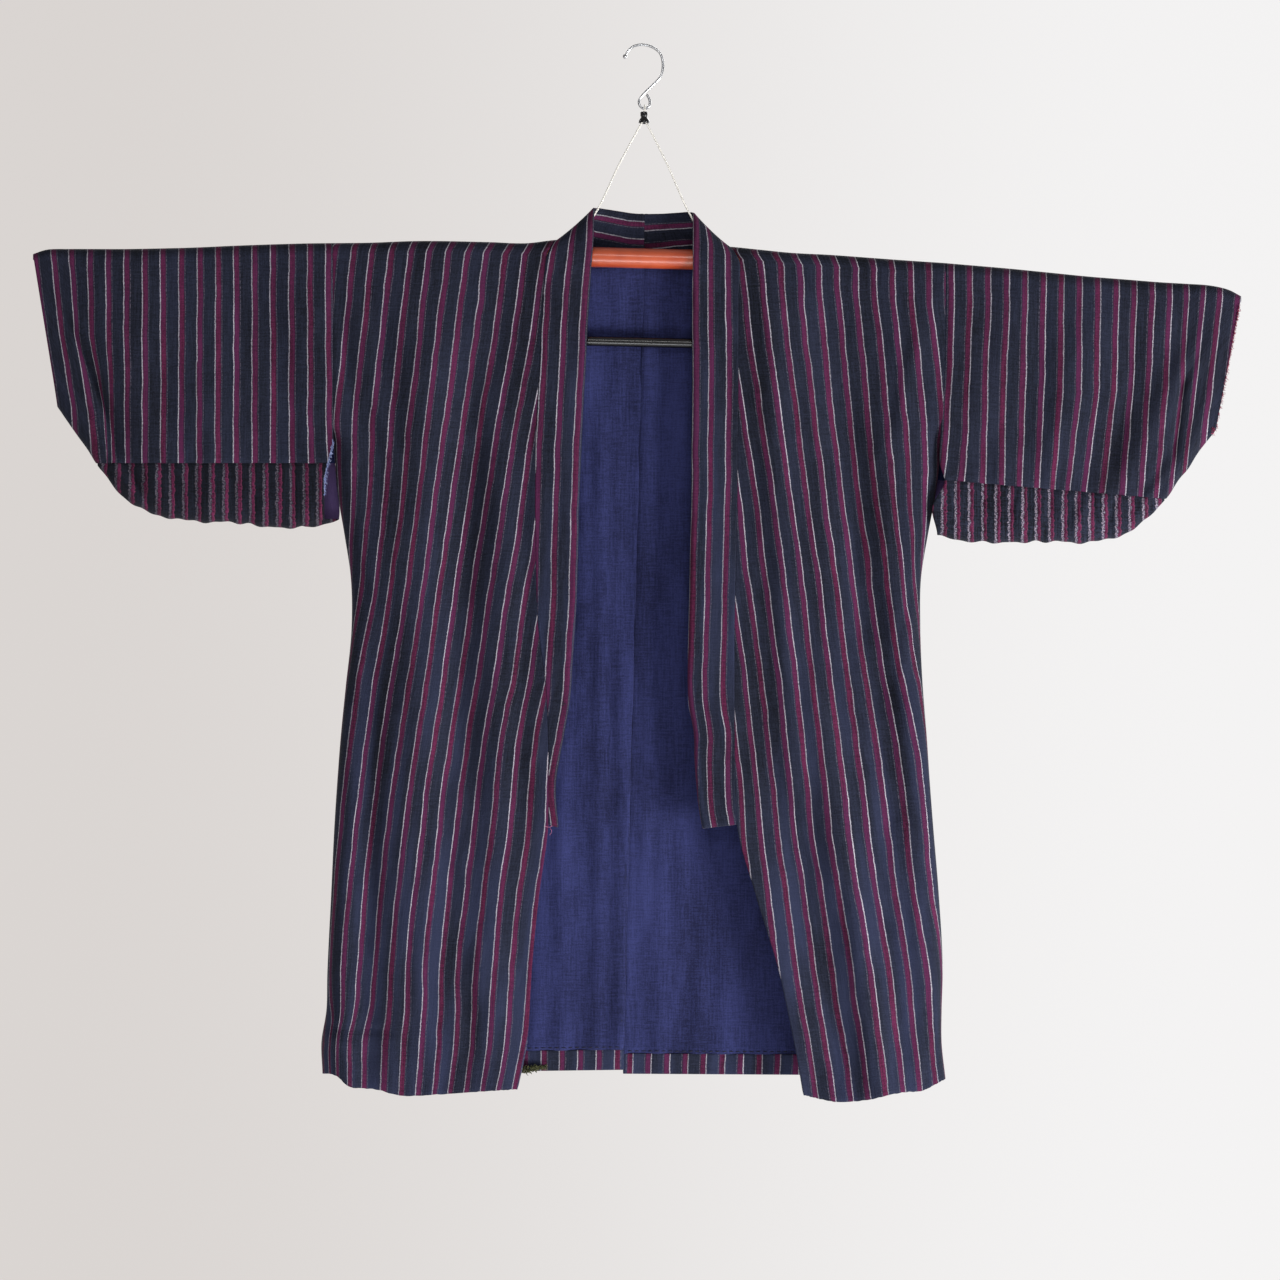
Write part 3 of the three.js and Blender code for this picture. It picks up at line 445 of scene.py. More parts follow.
def tubes(name, routes, radius, sides, taper=1.0):
    """Many round threads or one bar as one mesh: routes is (threads, points, 3). The section turns
    with the route, its radius shrinks to a share taper at the end, and both ends are capped."""
    routes = np.asarray(routes, float)
    count, steps = routes.shape[:2]
    ahead = np.gradient(routes, axis=1)
    ahead /= np.maximum(1e-9, np.linalg.norm(ahead, axis=2, keepdims=True))
    guide = np.where(np.abs(ahead[:, :1, 1:2]) < 0.9, [[[0, 1, 0]]], [[[1, 0, 0]]]) * np.ones_like(ahead)
    first = np.cross(ahead, guide)
    first /= np.maximum(1e-9, np.linalg.norm(first, axis=2, keepdims=True))
    second = np.cross(ahead, first)
    angle = 2 * math.pi * np.arange(sides) / sides
    size = radius * np.linspace(1, taper, steps)[None, :, None, None]
    ring = first[:, :, None] * np.cos(angle)[:, None] + second[:, :, None] * np.sin(angle)[:, None]
    body = (routes[:, :, None] + size * ring).reshape(-1, 3)
    start = (np.arange(count)[:, None, None] * steps + np.arange(steps - 1)[None, :, None]) * sides
    j, k = np.arange(sides), (np.arange(sides) + 1) % sides
    walls = np.stack([start + j, start + k, start + sides + k, start + sides + j], -1).reshape(-1, 4)
    caps = np.concatenate([routes[:, 0], routes[:, -1]])
    low = np.arange(count)[:, None] * steps * sides
    high = low + (steps - 1) * sides
    hub = len(body) + np.arange(count)[:, None]
    first_cap = np.stack(np.broadcast_arrays(hub, low + k, low + j), -1).reshape(-1, 3)
    last_cap = np.stack(np.broadcast_arrays(hub + count, high + j, high + k), -1).reshape(-1, 3)
    faces = walls.tolist() + first_cap.tolist() + last_cap.tolist()
    return new_mesh(name, np.concatenate([body, caps]), faces)


def settle(piece, material, nodes=()):
    """Rides a piece on the part's one body, hides the solids that it stands for, and gives its finish."""
    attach(piece, "root")
    if nodes:
        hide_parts(*nodes)
    piece.data.materials.clear()
    piece.data.materials.append(material)
    return piece


print("points round a grid of 4 by 5:", len(loop_round(4, 5)))

# %% [markdown]
# ## Words for material nodes
# Cotton, lacquer and wire are all made from a few kinds of node. An image of the cloth would stop at
# the photograph's detail, so each look is worked out from numbers instead. A short word for each kind
# of node lets a material read like a recipe.
# %% Node helpers
def linear(red, green, blue):
    """A colour as Blender wants it, from the eye's 0 to 255."""
    shares = np.array([red, green, blue]) / 255
    return tuple(np.where(shares <= 0.04045, shares / 12.92, ((shares + 0.055) / 1.055) ** 2.4)) + (1.0,)


class Nodes:
    """Short words for the nodes of one group or material."""

    def __init__(self, tree):
        self.tree = tree

    def add(self, kind, **values):
        """A new node with its settings."""
        node = self.tree.nodes.new(kind)
        for key, value in values.items():
            setattr(node, key, value)
        return node

    def put(self, value, socket):
        """Links a socket, or sets a plain value."""
        if isinstance(value, bpy.types.NodeSocket):
            self.tree.links.new(value, socket)
        elif value is not None:
            socket.default_value = value

    def maths(self, operation, a, b=None, c=None):
        """One step of arithmetic."""
        node = self.add("ShaderNodeMath", operation=operation)
        for value, socket in zip((a, b, c), node.inputs):
            self.put(value, socket)
        return node.outputs[0]

    def times(self, a, b):
        """The product of two values."""
        return self.maths("MULTIPLY", a, b)

    def plus(self, a, b):
        """The sum of two values."""
        return self.maths("ADD", a, b)

    def split(self, vector):
        """The three parts of a vector."""
        node = self.add("ShaderNodeSeparateXYZ")
        self.put(vector, node.inputs[0])
        return node.outputs

    def join(self, x, y, z=0.0):
        """A vector from its parts."""
        node = self.add("ShaderNodeCombineXYZ")
        for value, socket in zip((x, y, z), node.inputs):
            self.put(value, socket)
        return node.outputs[0]

    def scaled(self, x, x_scale, y, y_scale):
        """A flat place, scaled by its own amount each way: a small scale draws a pattern out long."""
        return self.join(self.times(x, x_scale), self.times(y, y_scale))

    def noise(self, vector, scale, detail=2.0, roughness=0.5):
        """Soft clouds round one half, finer and rougher with the last two numbers."""
        node = self.add("ShaderNodeTexNoise", noise_dimensions="3D")
        self.put(vector, node.inputs["Vector"])
        self.put(scale, node.inputs["Scale"])
        self.put(detail, node.inputs["Detail"])
        self.put(roughness, node.inputs["Roughness"])
        return node.outputs["Fac"]

    def step(self, value, low, high, first=0.0, last=1.0):
        """Goes softly from first at low to last at high."""
        node = self.add("ShaderNodeMapRange", interpolation_type="SMOOTHSTEP")
        for entry, socket in zip((value, low, high, first, last), node.inputs):
            self.put(entry, socket)
        return node.outputs[0]

    def band(self, value, low, high, soft):
        """1 between low and high, 0 outside, with soft edges."""
        rise = self.step(value, low - soft, low + soft)
        fall = self.step(value, high - soft, high + soft, 1.0, 0.0)
        return self.times(rise, fall)

    def blend(self, share, first, second):
        """A share of the second colour over the first."""
        node = self.add("ShaderNodeMix", data_type="RGBA")
        self.put(share, node.inputs[0])
        self.put(first, node.inputs[6])
        self.put(second, node.inputs[7])
        return node.outputs[2]


def new_group(name, inputs, outputs):
    """An empty node group with named inputs and outputs, and its words."""
    tree = bpy.data.node_groups.new(name, "ShaderNodeTree")
    for label, kind in inputs:
        tree.interface.new_socket(label, in_out="INPUT", socket_type=kind)
    for label, kind in outputs:
        tree.interface.new_socket(label, in_out="OUTPUT", socket_type=kind)
    words = Nodes(tree)
    return tree, words, words.add("NodeGroupInput").outputs, words.add("NodeGroupOutput").inputs


def use_group(n, tree, **values):
    """A group's node, with its inputs set."""
    node = n.add("ShaderNodeGroup", node_tree=tree)
    for key, value in values.items():
        n.put(value, node.inputs[key.replace("_", " ")])
    return node.outputs


def constant(shader, **values):
    """Sets a shader's own sockets to plain numbers."""
    for key, value in values.items():
        shader.inputs[key.replace("_", " ")].default_value = value


print("half grey as a shader has it:", round(linear(128, 128, 128)[0], 3))

# %% [markdown]
# ## The weave
# All the jacket's cloth is plain-woven from hand-spun cotton, thick and thin along each thread. Real
# threads by the ten thousand would be far too many, so one shared group draws them: long streaks for
# the warp, shorter ones for the weft, specks for the slubs, and slow clouds where the dye has faded.
# %% The weave, shared by every cotton
def weave_group():
    """Tone and height of plain-woven hand-spun cotton at a place on the cloth in millimetres:
    streaks along the warp, shorter ones along the weft, slubs, and slow fading."""
    tree, n, given, made = new_group(
        "plain weave",
        [("Cloth mm", "NodeSocketVector")],
        [("Tone", "NodeSocketFloat"), ("Fading", "NodeSocketFloat"), ("Height", "NodeSocketFloat")],
    )
    x, y, _ = n.split(given["Cloth mm"])
    warp = n.noise(n.scaled(x, 0.55, y, 0.03), 1.0, 3.0, 0.7)
    weft = n.noise(n.scaled(x, 0.06, y, 0.6), 1.0, 3.0, 0.7)
    grain = n.noise(n.join(x, y), 0.55, 3.0, 0.75)
    cloud = n.noise(n.join(x, n.times(y, 0.35)), 0.012, 3.0, 0.55)
    crumple = n.noise(n.join(x, n.times(y, 0.5)), 0.07, 3.0, 0.5)
    threads = n.plus(n.times(warp, 0.33), n.times(weft, 0.32))
    tone = n.step(n.plus(threads, n.times(grain, 0.35)), 0.4, 0.6)
    n.put(tone, made["Tone"])
    n.put(cloud, made["Fading"])
    n.put(n.plus(n.times(tone, 0.3), n.times(crumple, 1.5)), made["Height"])
    return tree


WEAVE = weave_group()
print("nodes in the weave:", len(WEAVE.nodes))

# %% [markdown]
# ## The striped cloth
# The jacket's cloth is woven with a warp stripe that repeats every 19 mm: a thin white line, a band
# of faded maroon, a broken grey line and a wide navy-black ground. Hand-dyed cotton is never even,
# so slow changes of tone, streaks along the threads and slubs lie over the stripe. Towards the start
# of each piece's length down the cloth, which on the body is the front hem, the navy is drawn lighter
# and bluer: partly worn stripes, partly painted light that brightens the lower front. The stripe's
# own place is shaken a little, because hand-spun threads don't lie straight. Counting the place in
# repeats, and not in millimetres, lets each piece say where its own stripes lie.
# %% Stripe patterns
STRIPE_REPEAT = 19
PATCH_REPEAT = 13.8
WHITE_LINE = (-0.026, 0.026)
MAROON_BAND = (0.04, 0.3)
GREY_LINE = (0.335, 0.375)
PATTERN_START = 0.2
NAVY_DARK, NAVY_BLUE = linear(9, 11, 18), linear(39, 43, 60)
# A lighter, bluer navy, for worn stripes and for the painted light that brightens the lower front.
NAVY_WORN_AND_LIT = linear(50, 56, 86)
MAROON_DEEP, MAROON_BRIGHT = linear(38, 9, 26), linear(98, 35, 70)
MAROON_PURPLE = linear(80, 36, 75)
THREAD_WHITE, THREAD_GREY = linear(176, 171, 182), linear(92, 84, 98)
LINING_DARK, LINING_LIGHT = linear(24, 27, 56), linear(50, 55, 102)
PATCH_PALE, PATCH_RED_EDGE = linear(140, 130, 146), linear(132, 58, 92)
PATCH_INSIDE = linear(96, 78, 124)


def lining_group():
    """Indigo plain weave: tone between two blues by the threads and by slow fading."""
    tree, n, given, made = new_group(
        "indigo cotton",
        [("Cloth mm", "NodeSocketVector")],
        [("Color", "NodeSocketColor"), ("Height", "NodeSocketFloat")],
    )
    weave = use_group(n, WEAVE, Cloth_mm=given["Cloth mm"])
    tone = n.step(n.plus(n.times(weave["Tone"], 0.32), weave["Fading"]), 0.3, 0.98)
    n.put(n.blend(tone, LINING_DARK, LINING_LIGHT), made["Color"])
    n.put(weave["Height"], made["Height"])
    return tree


LINING = lining_group()


def stripe_group():
    """Warp stripes from the place counted in repeats. The threads' own places are shaken by two
    noises, then bands of the repeat pick the white line, the maroon, the grey dots or the ground."""
    tree, n, given, made = new_group(
        "striped cotton",
        [("Cloth", "NodeSocketVector")],
        [("Color", "NodeSocketColor"), ("Height", "NodeSocketFloat")],
    )
    repeats, down, inside = n.split(given["Cloth"])
    across = n.times(repeats, float(STRIPE_REPEAT))
    flat = n.join(across, down)
    weave = use_group(n, WEAVE, Cloth_mm=flat)
    slow = n.noise(n.scaled(across, 0.022, down, 0.024), 1.0, 3.0, 0.6)
    quick = n.noise(n.scaled(across, 0.35, down, 0.4), 1.0, 2.0)
    shaken = n.maths("MULTIPLY_ADD", n.maths("SUBTRACT", slow, 0.5), 0.17, repeats)
    shaken = n.maths("MULTIPLY_ADD", n.maths("SUBTRACT", quick, 0.5), 0.05, shaken)
    place = n.maths("FRACT", n.plus(shaken, PATTERN_START))
    line = n.noise(n.scaled(repeats, 1.3, down, 0.006), 1.0, 2.0)

    def stripe(edges, soft):
        return n.band(place, edges[0] + PATTERN_START, edges[1] + PATTERN_START, soft)

    tone = weave["Tone"]
    bright = n.times(n.step(line, 0.25, 0.7, 0.45, 1.0), n.step(tone, 0.0, 0.8, 0.5, 1.0))
    white = n.times(stripe(WHITE_LINE, 0.012), bright)
    maroon = stripe(MAROON_BAND, 0.022)
    dots = n.noise(n.scaled(across, 0.3, down, 0.7), 1.0, 1.0)
    grey = n.times(stripe(GREY_LINE, 0.016), n.step(dots, 0.36, 0.62, 0.12, 0.8))
    fading = n.step(weave["Fading"], 0.3, 0.7)
    lit = n.maths("MULTIPLY_ADD", tone, 0.6, n.times(fading, 0.4))
    ground = n.blend(lit, NAVY_DARK, NAVY_BLUE)
    # Wear and painted light: the ground turns a lighter, bluer navy in streaks along some stripes, which is
    # wear, and more strongly over the first 60 to 700 mm of length down the cloth, which from the front hem
    # up is painted light that brightens the lower front.
    by_stripe = n.noise(n.scaled(repeats, 0.55, down, 0.004), 1.0, 2.0)
    worn_and_lit = n.times(n.step(by_stripe, 0.4, 0.62, 0.08, 0.75), n.step(down, 60.0, 700.0, 0.75, 0.12))
    ground = n.blend(worn_and_lit, ground, NAVY_WORN_AND_LIT)
    red = n.blend(lit, MAROON_DEEP, MAROON_BRIGHT)
    red = n.blend(n.step(line, 0.35, 0.65, 0.0, 0.5), red, MAROON_PURPLE)
    colour = n.blend(maroon, ground, red)
    colour = n.blend(grey, colour, THREAD_GREY)
    colour = n.blend(white, colour, THREAD_WHITE)
    lining = use_group(n, LINING, Cloth_mm=flat)
    n.put(n.blend(inside, colour, lining["Color"]), made["Color"])
    n.put(weave["Height"], made["Height"])
    return tree


def patch_group():
    """The closer stripe of the sleeves' bottom strips: a feathered pale line whose edge jumps from
    thread to thread, as ikat threads do, and a narrow band of dark red beside it. On the right strip,
    which lies away from the light, the ground and the pale line are drawn darker: painted shade."""
    tree, n, given, made = new_group(
        "closer stripe",
        [("Cloth", "NodeSocketVector")],
        [("Color", "NodeSocketColor"), ("Height", "NodeSocketFloat")],
    )
    repeats, down, inside = n.split(given["Cloth"])
    across = n.times(repeats, PATCH_REPEAT)
    flat = n.join(across, down)
    weave = use_group(n, WEAVE, Cloth_mm=flat)
    jumps = n.noise(n.scaled(across, 0.1, down, 0.2), 1.0, 3.0, 0.75)
    shaken = n.maths("MULTIPLY_ADD", n.maths("SUBTRACT", jumps, 0.5), 0.42, n.plus(repeats, PATTERN_START))
    place = n.maths("FRACT", shaken)
    ragged = n.step(n.noise(n.scaled(across, 0.9, down, 0.7), 1.0, 2.0), 0.4, 0.6, 0.1, 1.0)
    # Painted shade: the right strip, on the side away from the light, has a count of repeats below 30 and
    # keeps only 0.4 of its pale line and of its ground's tone, so both are drawn darker.
    unshaded_share = n.step(repeats, 30.0, 45.0, 0.4, 1.0)
    pale = n.band(place, PATTERN_START - 0.07, PATTERN_START + 0.1, 0.035)
    pale = n.times(n.times(pale, ragged), unshaded_share)
    red = n.band(place, PATTERN_START + 0.13, PATTERN_START + 0.32, 0.025)
    bright = n.times(n.band(place, PATTERN_START + 0.3, PATTERN_START + 0.36, 0.03), 0.5)
    dye = n.plus(n.times(weave["Tone"], 0.5), n.times(weave["Fading"], 0.5))
    tone = n.step(dye, 0.15, 0.85)
    ground = n.blend(n.times(tone, unshaded_share), NAVY_DARK, NAVY_BLUE)
    colour = n.blend(red, ground, n.blend(tone, MAROON_DEEP, MAROON_BRIGHT))
    colour = n.blend(bright, colour, PATCH_RED_EDGE)
    colour = n.blend(pale, colour, PATCH_PALE)
    n.put(n.blend(inside, colour, PATCH_INSIDE), made["Color"])
    n.put(weave["Height"], made["Height"])
    return tree


def cotton(name, tree, in_millimetres=False):
    """A matte cotton: a group's colour, its height as a small bump, and a little sheen."""
    material = bpy.data.materials.new(name)
    material.use_nodes = True
    material.node_tree.nodes.clear()
    n = Nodes(material.node_tree)
    place = n.add("ShaderNodeAttribute", attribute_name="cloth").outputs["Vector"]
    out = use_group(n, tree, **{"Cloth_mm" if in_millimetres else "Cloth": place})
    bump = n.add("ShaderNodeBump")
    constant(bump, Strength=0.55, Distance=0.0012)
    n.put(out["Height"], bump.inputs["Height"])
    shader = n.add("ShaderNodeBsdfPrincipled")
    n.put(out["Color"], shader.inputs["Base Color"])
    n.put(bump.outputs[0], shader.inputs["Normal"])
    constant(shader, Roughness=0.92, Specular_IOR_Level=0.14, Sheen_Weight=0.04, Sheen_Roughness=0.5)
    n.put(shader.outputs[0], n.add("ShaderNodeOutputMaterial").inputs[0])
    return material


striped_cotton = cotton("striped_cotton_look", stripe_group())
patch_cotton = cotton("patch_cotton_look", patch_group())
indigo_lining = cotton("indigo_lining_look", LINING, in_millimetres=True)
print("materials made:", [m.name for m in bpy.data.materials])

# %% [markdown]
# ## The two body strips
# Each half of the body is one strip of cloth about 31 cm wide, from the front hem over the shoulder
# to the back hem. The stripes run down it, so at the back they are parallel to the centre seam. At
# the front the cloth is pulled towards the collar, and the stripes lean with it.
# %% Build the body
BODY_STEP = 4
BODY_COLUMNS = 84
STRIPES_FRONT = {
    "right": table("z at_side at_middle at_edge", [
        (-215, -0.92, 4.70, 10.26), (-298, -0.51, 5.07, 10.54), (-380, -0.05, 5.51, 11.21),
        (-462, 0.20, 6.19, 11.79), (-545, 1.43, 7.27, 12.47), (-627, 2.33, 8.05, 13.55),
        (-710, 2.57, 8.73, 14.83), (-792, 2.80, 9.20, 15.15), (-874, 3.10, 9.34, 15.23),
        (-957, 3.15, 9.45, 15.22), (-1039, 3.45, 9.29, 15.36),
    ]),
    "left": table("z at_side at_middle at_edge", [
        (-215, -0.65, 4.83, 10.10), (-256, -0.79, 4.90, 10.51), (-298, -0.45, 5.15, 10.71),
        (-380, 0.10, 5.67, 11.46), (-462, 0.62, 6.41, 12.17), (-545, 2.04, 7.53, 12.78),
        (-627, 2.84, 8.11, 13.55), (-710, 3.55, 8.52, 14.15), (-792, 3.89, 8.81, 14.54),
        (-874, 3.85, 8.72, 13.84), (-957, 4.44, 8.63, 13.02), (-1039, 4.67, 8.82, 12.82),
    ]),
}
SIDE_GATHER = {
    "right": table("z edge beside", [
        (-900, 0, 0), (-957, 0, 0.05), (-985, -0.2, 0.12), (-1010, -0.85, 0.26), (-1060, -1, 0.28),
    ]),
    "left": table("z edge beside", [
        (-384, 0, 0), (-434, 0, 0.05), (-470, -0.1, 0.1), (-495, -0.2, 0.1), (-520, -0.4, 0.1),
        (-560, -0.2, 0), (-620, 0, 0),
    ]),
}
SIDE_GATHER_WIDTH = 12
BESIDE_AT, BESIDE_WIDTH = 43, 20
STRIPES_AT_CENTRE = 15.5
SHOULDER_ROWS = 20
JOIN_ROWS = 9
FRAY = 0.35


def hanging_rows(side, layer, rows, step, belly, across):
    """Points of the hanging rows of a panel, top to bottom, from a table of its edges: each row
    runs straight between the two edges, and the last stretch also drops by belly."""
    path = np.concatenate([[0], np.cumsum(np.hypot(np.diff(rows["edge_z"]), np.diff(rows["edge"])))])
    at = np.linspace(0, path[-1], int(path[-1] / step) + 1)
    side_z, edge_z, edge = (read(path, rows[k], at)[:, None] for k in ("side_z", "edge_z", "edge"))
    share = np.clip((at - path[-2]) / (path[-1] - path[-2]), 0, 1)[:, None]
    side_x = side_edge(side, side_z)
    x = mix(side_x, edge, across)
    z = mix(side_z, edge_z, across) - share * belly
    return body_point(side, layer, x, z, side_x)


def over_rows(side, across):
    """Points of the cloth over the hanger, front to back, on half an ellipse round the tube, and
    how far round each row is."""
    turn = np.linspace(0, 1, SHOULDER_ROWS + 1)[:, None]
    edge = np.interp(turn, [0, 0.5, 1], NECK_OVER[side])
    x = mix(side_edge(side, CHEST_HEIGHT), edge, across)
    y = -SHOULDER_DEPTH * np.cos(math.pi * turn)
    z = shoulder_top(side, x) + SHOULDER_ROUND * np.sin(math.pi * turn)
    return np.stack(np.broadcast_arrays(outward(side) * x, y, z), -1), turn


def joining_rows(side, layer, first, last):
    """Rows between two others on the hanging cloth, without them."""
    share = np.linspace(0, 1, JOIN_ROWS + 2)[1:-1, None]
    x = np.abs(mix(first[:, 0], last[:, 0], share))
    z = mix(first[:, 2], last[:, 2], share)
    return body_point(side, layer, x, z, side_edge(side, z[:, :1]))


def back_table(side):
    """Edges of the back: the neck cut, then down the centre seam to the hem."""
    neck, front, (hem_side, hem_edge) = BACK_NECK[side], FRONT[side], BACK_HEM[side]
    first = neck["side_z"][-1] - NECK_STEP
    below = np.concatenate([[CENTRE_TOP], front["edge_z"][1:-1], [hem_edge]])
    seam = outward(side) * centre_seam(below) + SEAM_GAP / 2
    return {
        "side_z": np.concatenate([neck["side_z"], [first], front["side_z"][1:-1], [hem_side]]),
        "edge_z": np.concatenate([neck["edge_z"], below]),
        "edge": np.concatenate([neck["edge"], seam]),
    }


def round_the_turn(grid, in_from_side):
    """Length in mm that the rounded side adds to each place: the steps along the cloth less the
    steps across, summed from the inner end of the turn out to the side edge."""
    step = np.diff(grid[..., :2], axis=1)
    added = np.hypot(step[..., 0], step[..., 1]) - np.abs(step[..., 0])
    added = np.where(in_from_side[:, :-1] < SIDE_ROUND, added, 0)
    added = np.concatenate([added, np.zeros_like(added[:, :1])], axis=1)
    return np.cumsum(added[:, ::-1], axis=1)[:, ::-1]


def body_stripes(side, grid, across, turn):
    """Places across the stripes in repeats. At the front they are read from the table, on a
    parabola through its three columns, and the gathers at the side draw them in by a bell curve.
    At the back they are counted from the centre seam."""
    rows = STRIPES_FRONT[side]
    z = grid[..., 2]
    columns = ("at_side", "at_middle", "at_edge")
    at_side, at_middle, at_edge = (read(rows["z"], rows[k], z) for k in columns)
    bow = 4 * across * (1 - across) * (at_middle - (at_side + at_edge) / 2)
    in_from_side = side_edge(side, z) - np.abs(grid[..., 0])
    gather = SIDE_GATHER[side]
    turned_back = np.exp(-((in_from_side / SIDE_GATHER_WIDTH) ** 2))
    beside = np.exp(-(((in_from_side - BESIDE_AT) / BESIDE_WIDTH) ** 2))
    drawn = read(gather["z"], gather["edge"], z) * turned_back
    front = mix(at_side, at_edge, across) + bow + drawn + read(gather["z"], gather["beside"], z) * beside
    back = STRIPES_AT_CENTRE - outward(side) * (grid[..., 0] - centre_seam(z)) / STRIPE_REPEAT
    stripes = mix(front, back, ease(turn)) - round_the_turn(grid, in_from_side) / STRIPE_REPEAT
    return stripes + 0.02 * ripple(grid[..., 0], z, 5)


def body_half(side):
    """One body strip as a closed wall."""
    across = crowded(BODY_COLUMNS, 0.6)[None, :]
    hem = HEM_DROP[side]
    frayed = FRAY * np.sin(190 * across) * np.sin(77 * across)
    belly = read(hem["across"], hem["drop"], across) + frayed
    front = hanging_rows(side, -1, FRONT[side], BODY_STEP, belly, across)[::-1]
    over, turn = over_rows(side, across)
    back = hanging_rows(side, 1, back_table(side), BODY_STEP, 0, across)
    up = joining_rows(side, -1, front[-1], over[0])
    down = joining_rows(side, 1, over[-1], back[0])
    grid = np.concatenate([front, up, over, down, back])
    turns = np.concatenate([np.zeros((len(front) + len(up), 1)), turn, np.ones((len(down) + len(back), 1))])
    stripes = body_stripes(side, grid, across, turns)
    length = lengths_down(grid)
    piece = cloth_wall(
        f"striped_body_{side}", grid, cloth_marks(stripes, length, 0), cloth_marks(stripes, length, 1),
        WALL, FACING,
    )
    return settle(piece, striped_cotton, [f"body_{side}"])


BODY = {side: body_half(side) for side in SIDES}
print("body strips:", {s: len(p.data.polygons) for s, p in BODY.items()}, "faces")

# %% [markdown]
# ## Sleeves
# A sleeve is a second strip sewn to the body's edge, folded over the arm of the hanger and closed
# along its rounded bottom. Its stripes are upright at the armhole and lean in near the cuff, where
# the slanting fold gathers them.
# %% Build the sleeves
SLEEVE_STATIONS = 140
SLEEVE_DROPS = 70
SLEEVE_OVER = 18
SLIT_OPEN = 9
RIGHT_SLIT_TOP, RIGHT_SLIT_RISE = -402, 48
LEFT_SLIT_MIDDLE, LEFT_SLIT_HALF = -450, 15
EDGE_REACH = 45
FOLLOW = {("right", -1): 0, ("right", 1): 1, ("left", -1): 1, ("left", 1): 1}
LET_GO, LET_GO_BELOW, LET_GO_LENGTH = 0.62, -470, 35
SLEEVE_LAST = 10
SLEEVE_STRIPE_FROM = {"right": 326.8, "left": 321.8}
SLEEVE_STRIPE_REPEAT = {"right": 18.85, "left": 18.75}
SLEEVE_LEAN = {
    "right": table("x middle low", [
        (319, 0.4, 1), (500, 0, 0), (534, 0, 1), (553, 0.5, 5), (566, 1, 14), (574, 2, 19), (590, 6, 19),
        (612, 9.5, 22),
    ]),
    "left": table("x middle low", [
        (322, 2, 5.3), (360, 4, 5.2), (415, 1.5, 5.8), (470, 1.2, 12), (527, 5, 10.3), (562, 5, 15),
        (580, 10, 20.6), (600, 11, 22),
    ]),
}
SLEEVE_LEAN_HEIGHTS = {"right": (-215, -297, -373, -460), "left": (-257, -355, -436, -500)}
SLEEVE_LEAN_SHARES = (0, 1, 2, 2.7)
CUFF_GATHER, CUFF_GATHER_FROM, CUFF_GATHER_LENGTH = 5.8, 520, 90
STRIPES_FOLLOW = 0.6
# Added to a sleeve's length down the cloth, so that little of the lighter navy drawn near the front hem
# reaches it: wear and painted light.
SLEEVE_WEAR_AND_LIGHT_SHIFT = 600


def sleeve_lines(side, share):
    """Top and foot of the sleeve's sections, their fill, and how far down the patch seam is."""
    rows = SLEEVE[side]
    row = np.atleast_1d(share) * SLEEVE_LAST
    keys = np.arange(SLEEVE_LAST + 1)
    top_x, top_z, foot_x, foot_z, fill = (read(keys, rows[k], row) for k in rows)
    top = np.stack([top_x + SEAM_GAP / 2, top_z - SOLID_HALF_WALL], -1)
    scallop = 0.9 * np.sin(foot_x / 5.3 + 2 * np.sin(foot_x / 31)) + 0.6 * np.sin(foot_x / 2.9)
    foot_z = foot_z + SOLID_HALF_WALL + scallop * ease(row / 2)
    foot = np.stack([foot_x + SEAM_GAP / 2, foot_z], -1)
    height, slope = PATCH_SEAM[side]
    seam_z = height + slope * (foot[:, 0] - rows["foot_x"][-1])
    return top, foot, fill, (top[:, 1] - seam_z) / (top[:, 1] - foot[:, 1])


def near_body(side, x):
    """1 at the sleeve's edge by the body, 0 some way along the sleeve."""
    return ease(1 - (x - ARMHOLE_AT[side]) / EDGE_REACH)


def follow(side, layer, x, z):
    """How far the sleeve's edge at the body moves along with the body's own side edge. It lets go
    below the armhole, and the shift fades out along the sleeve."""
    rows = FRONT[side]
    shift = read(rows["side_z"], rows["side"], np.minimum(z, CHEST_HEIGHT)) - ARMHOLE_AT[side]
    held = 1 - LET_GO * ease((LET_GO_BELOW - z) / LET_GO_LENGTH)
    return FOLLOW[side, layer] * shift * near_body(side, x) * held


def slit_shape(side, z):
    """How open the front is between sleeve and body, 0 to 1: from the slit's top down to the foot
    at the right, and as a short bell curve at the left."""
    if side == "right":
        return ease((RIGHT_SLIT_TOP - z) / RIGHT_SLIT_RISE)
    return np.exp(-(((z - LEFT_SLIT_MIDDLE) / LEFT_SLIT_HALF) ** 2))


def sleeve_point(side, lines, layer, share, closed_half):
    """Points on a hanging layer of the sleeve: share runs from the top line to the foot, and the
    depth closes to nothing there on a quarter of an ellipse."""
    top, foot, fill, _ = lines
    x = mix(top[:, :1], foot[:, :1], share)
    z = mix(top[:, 1:], foot[:, 1:], share)
    opened = SLIT_OPEN * near_body(side, x) * slit_shape(side, z) if layer < 0 else 0
    x = x + follow(side, layer, x, z) + opened
    drop = np.maximum(0, top[:, 1:] - SHOULDER_ROUND - z)
    to_foot = (1 - share) * np.linalg.norm(top - foot, axis=1)[:, None]
    depth = fill[:, None] * hang_depth(layer, side, x, z, drop) * rounding(to_foot, SLEEVE_FOOT_ROUND)
    y = layer * np.maximum(closed_half, depth)
    return np.stack([outward(side) * x, y, z], -1)


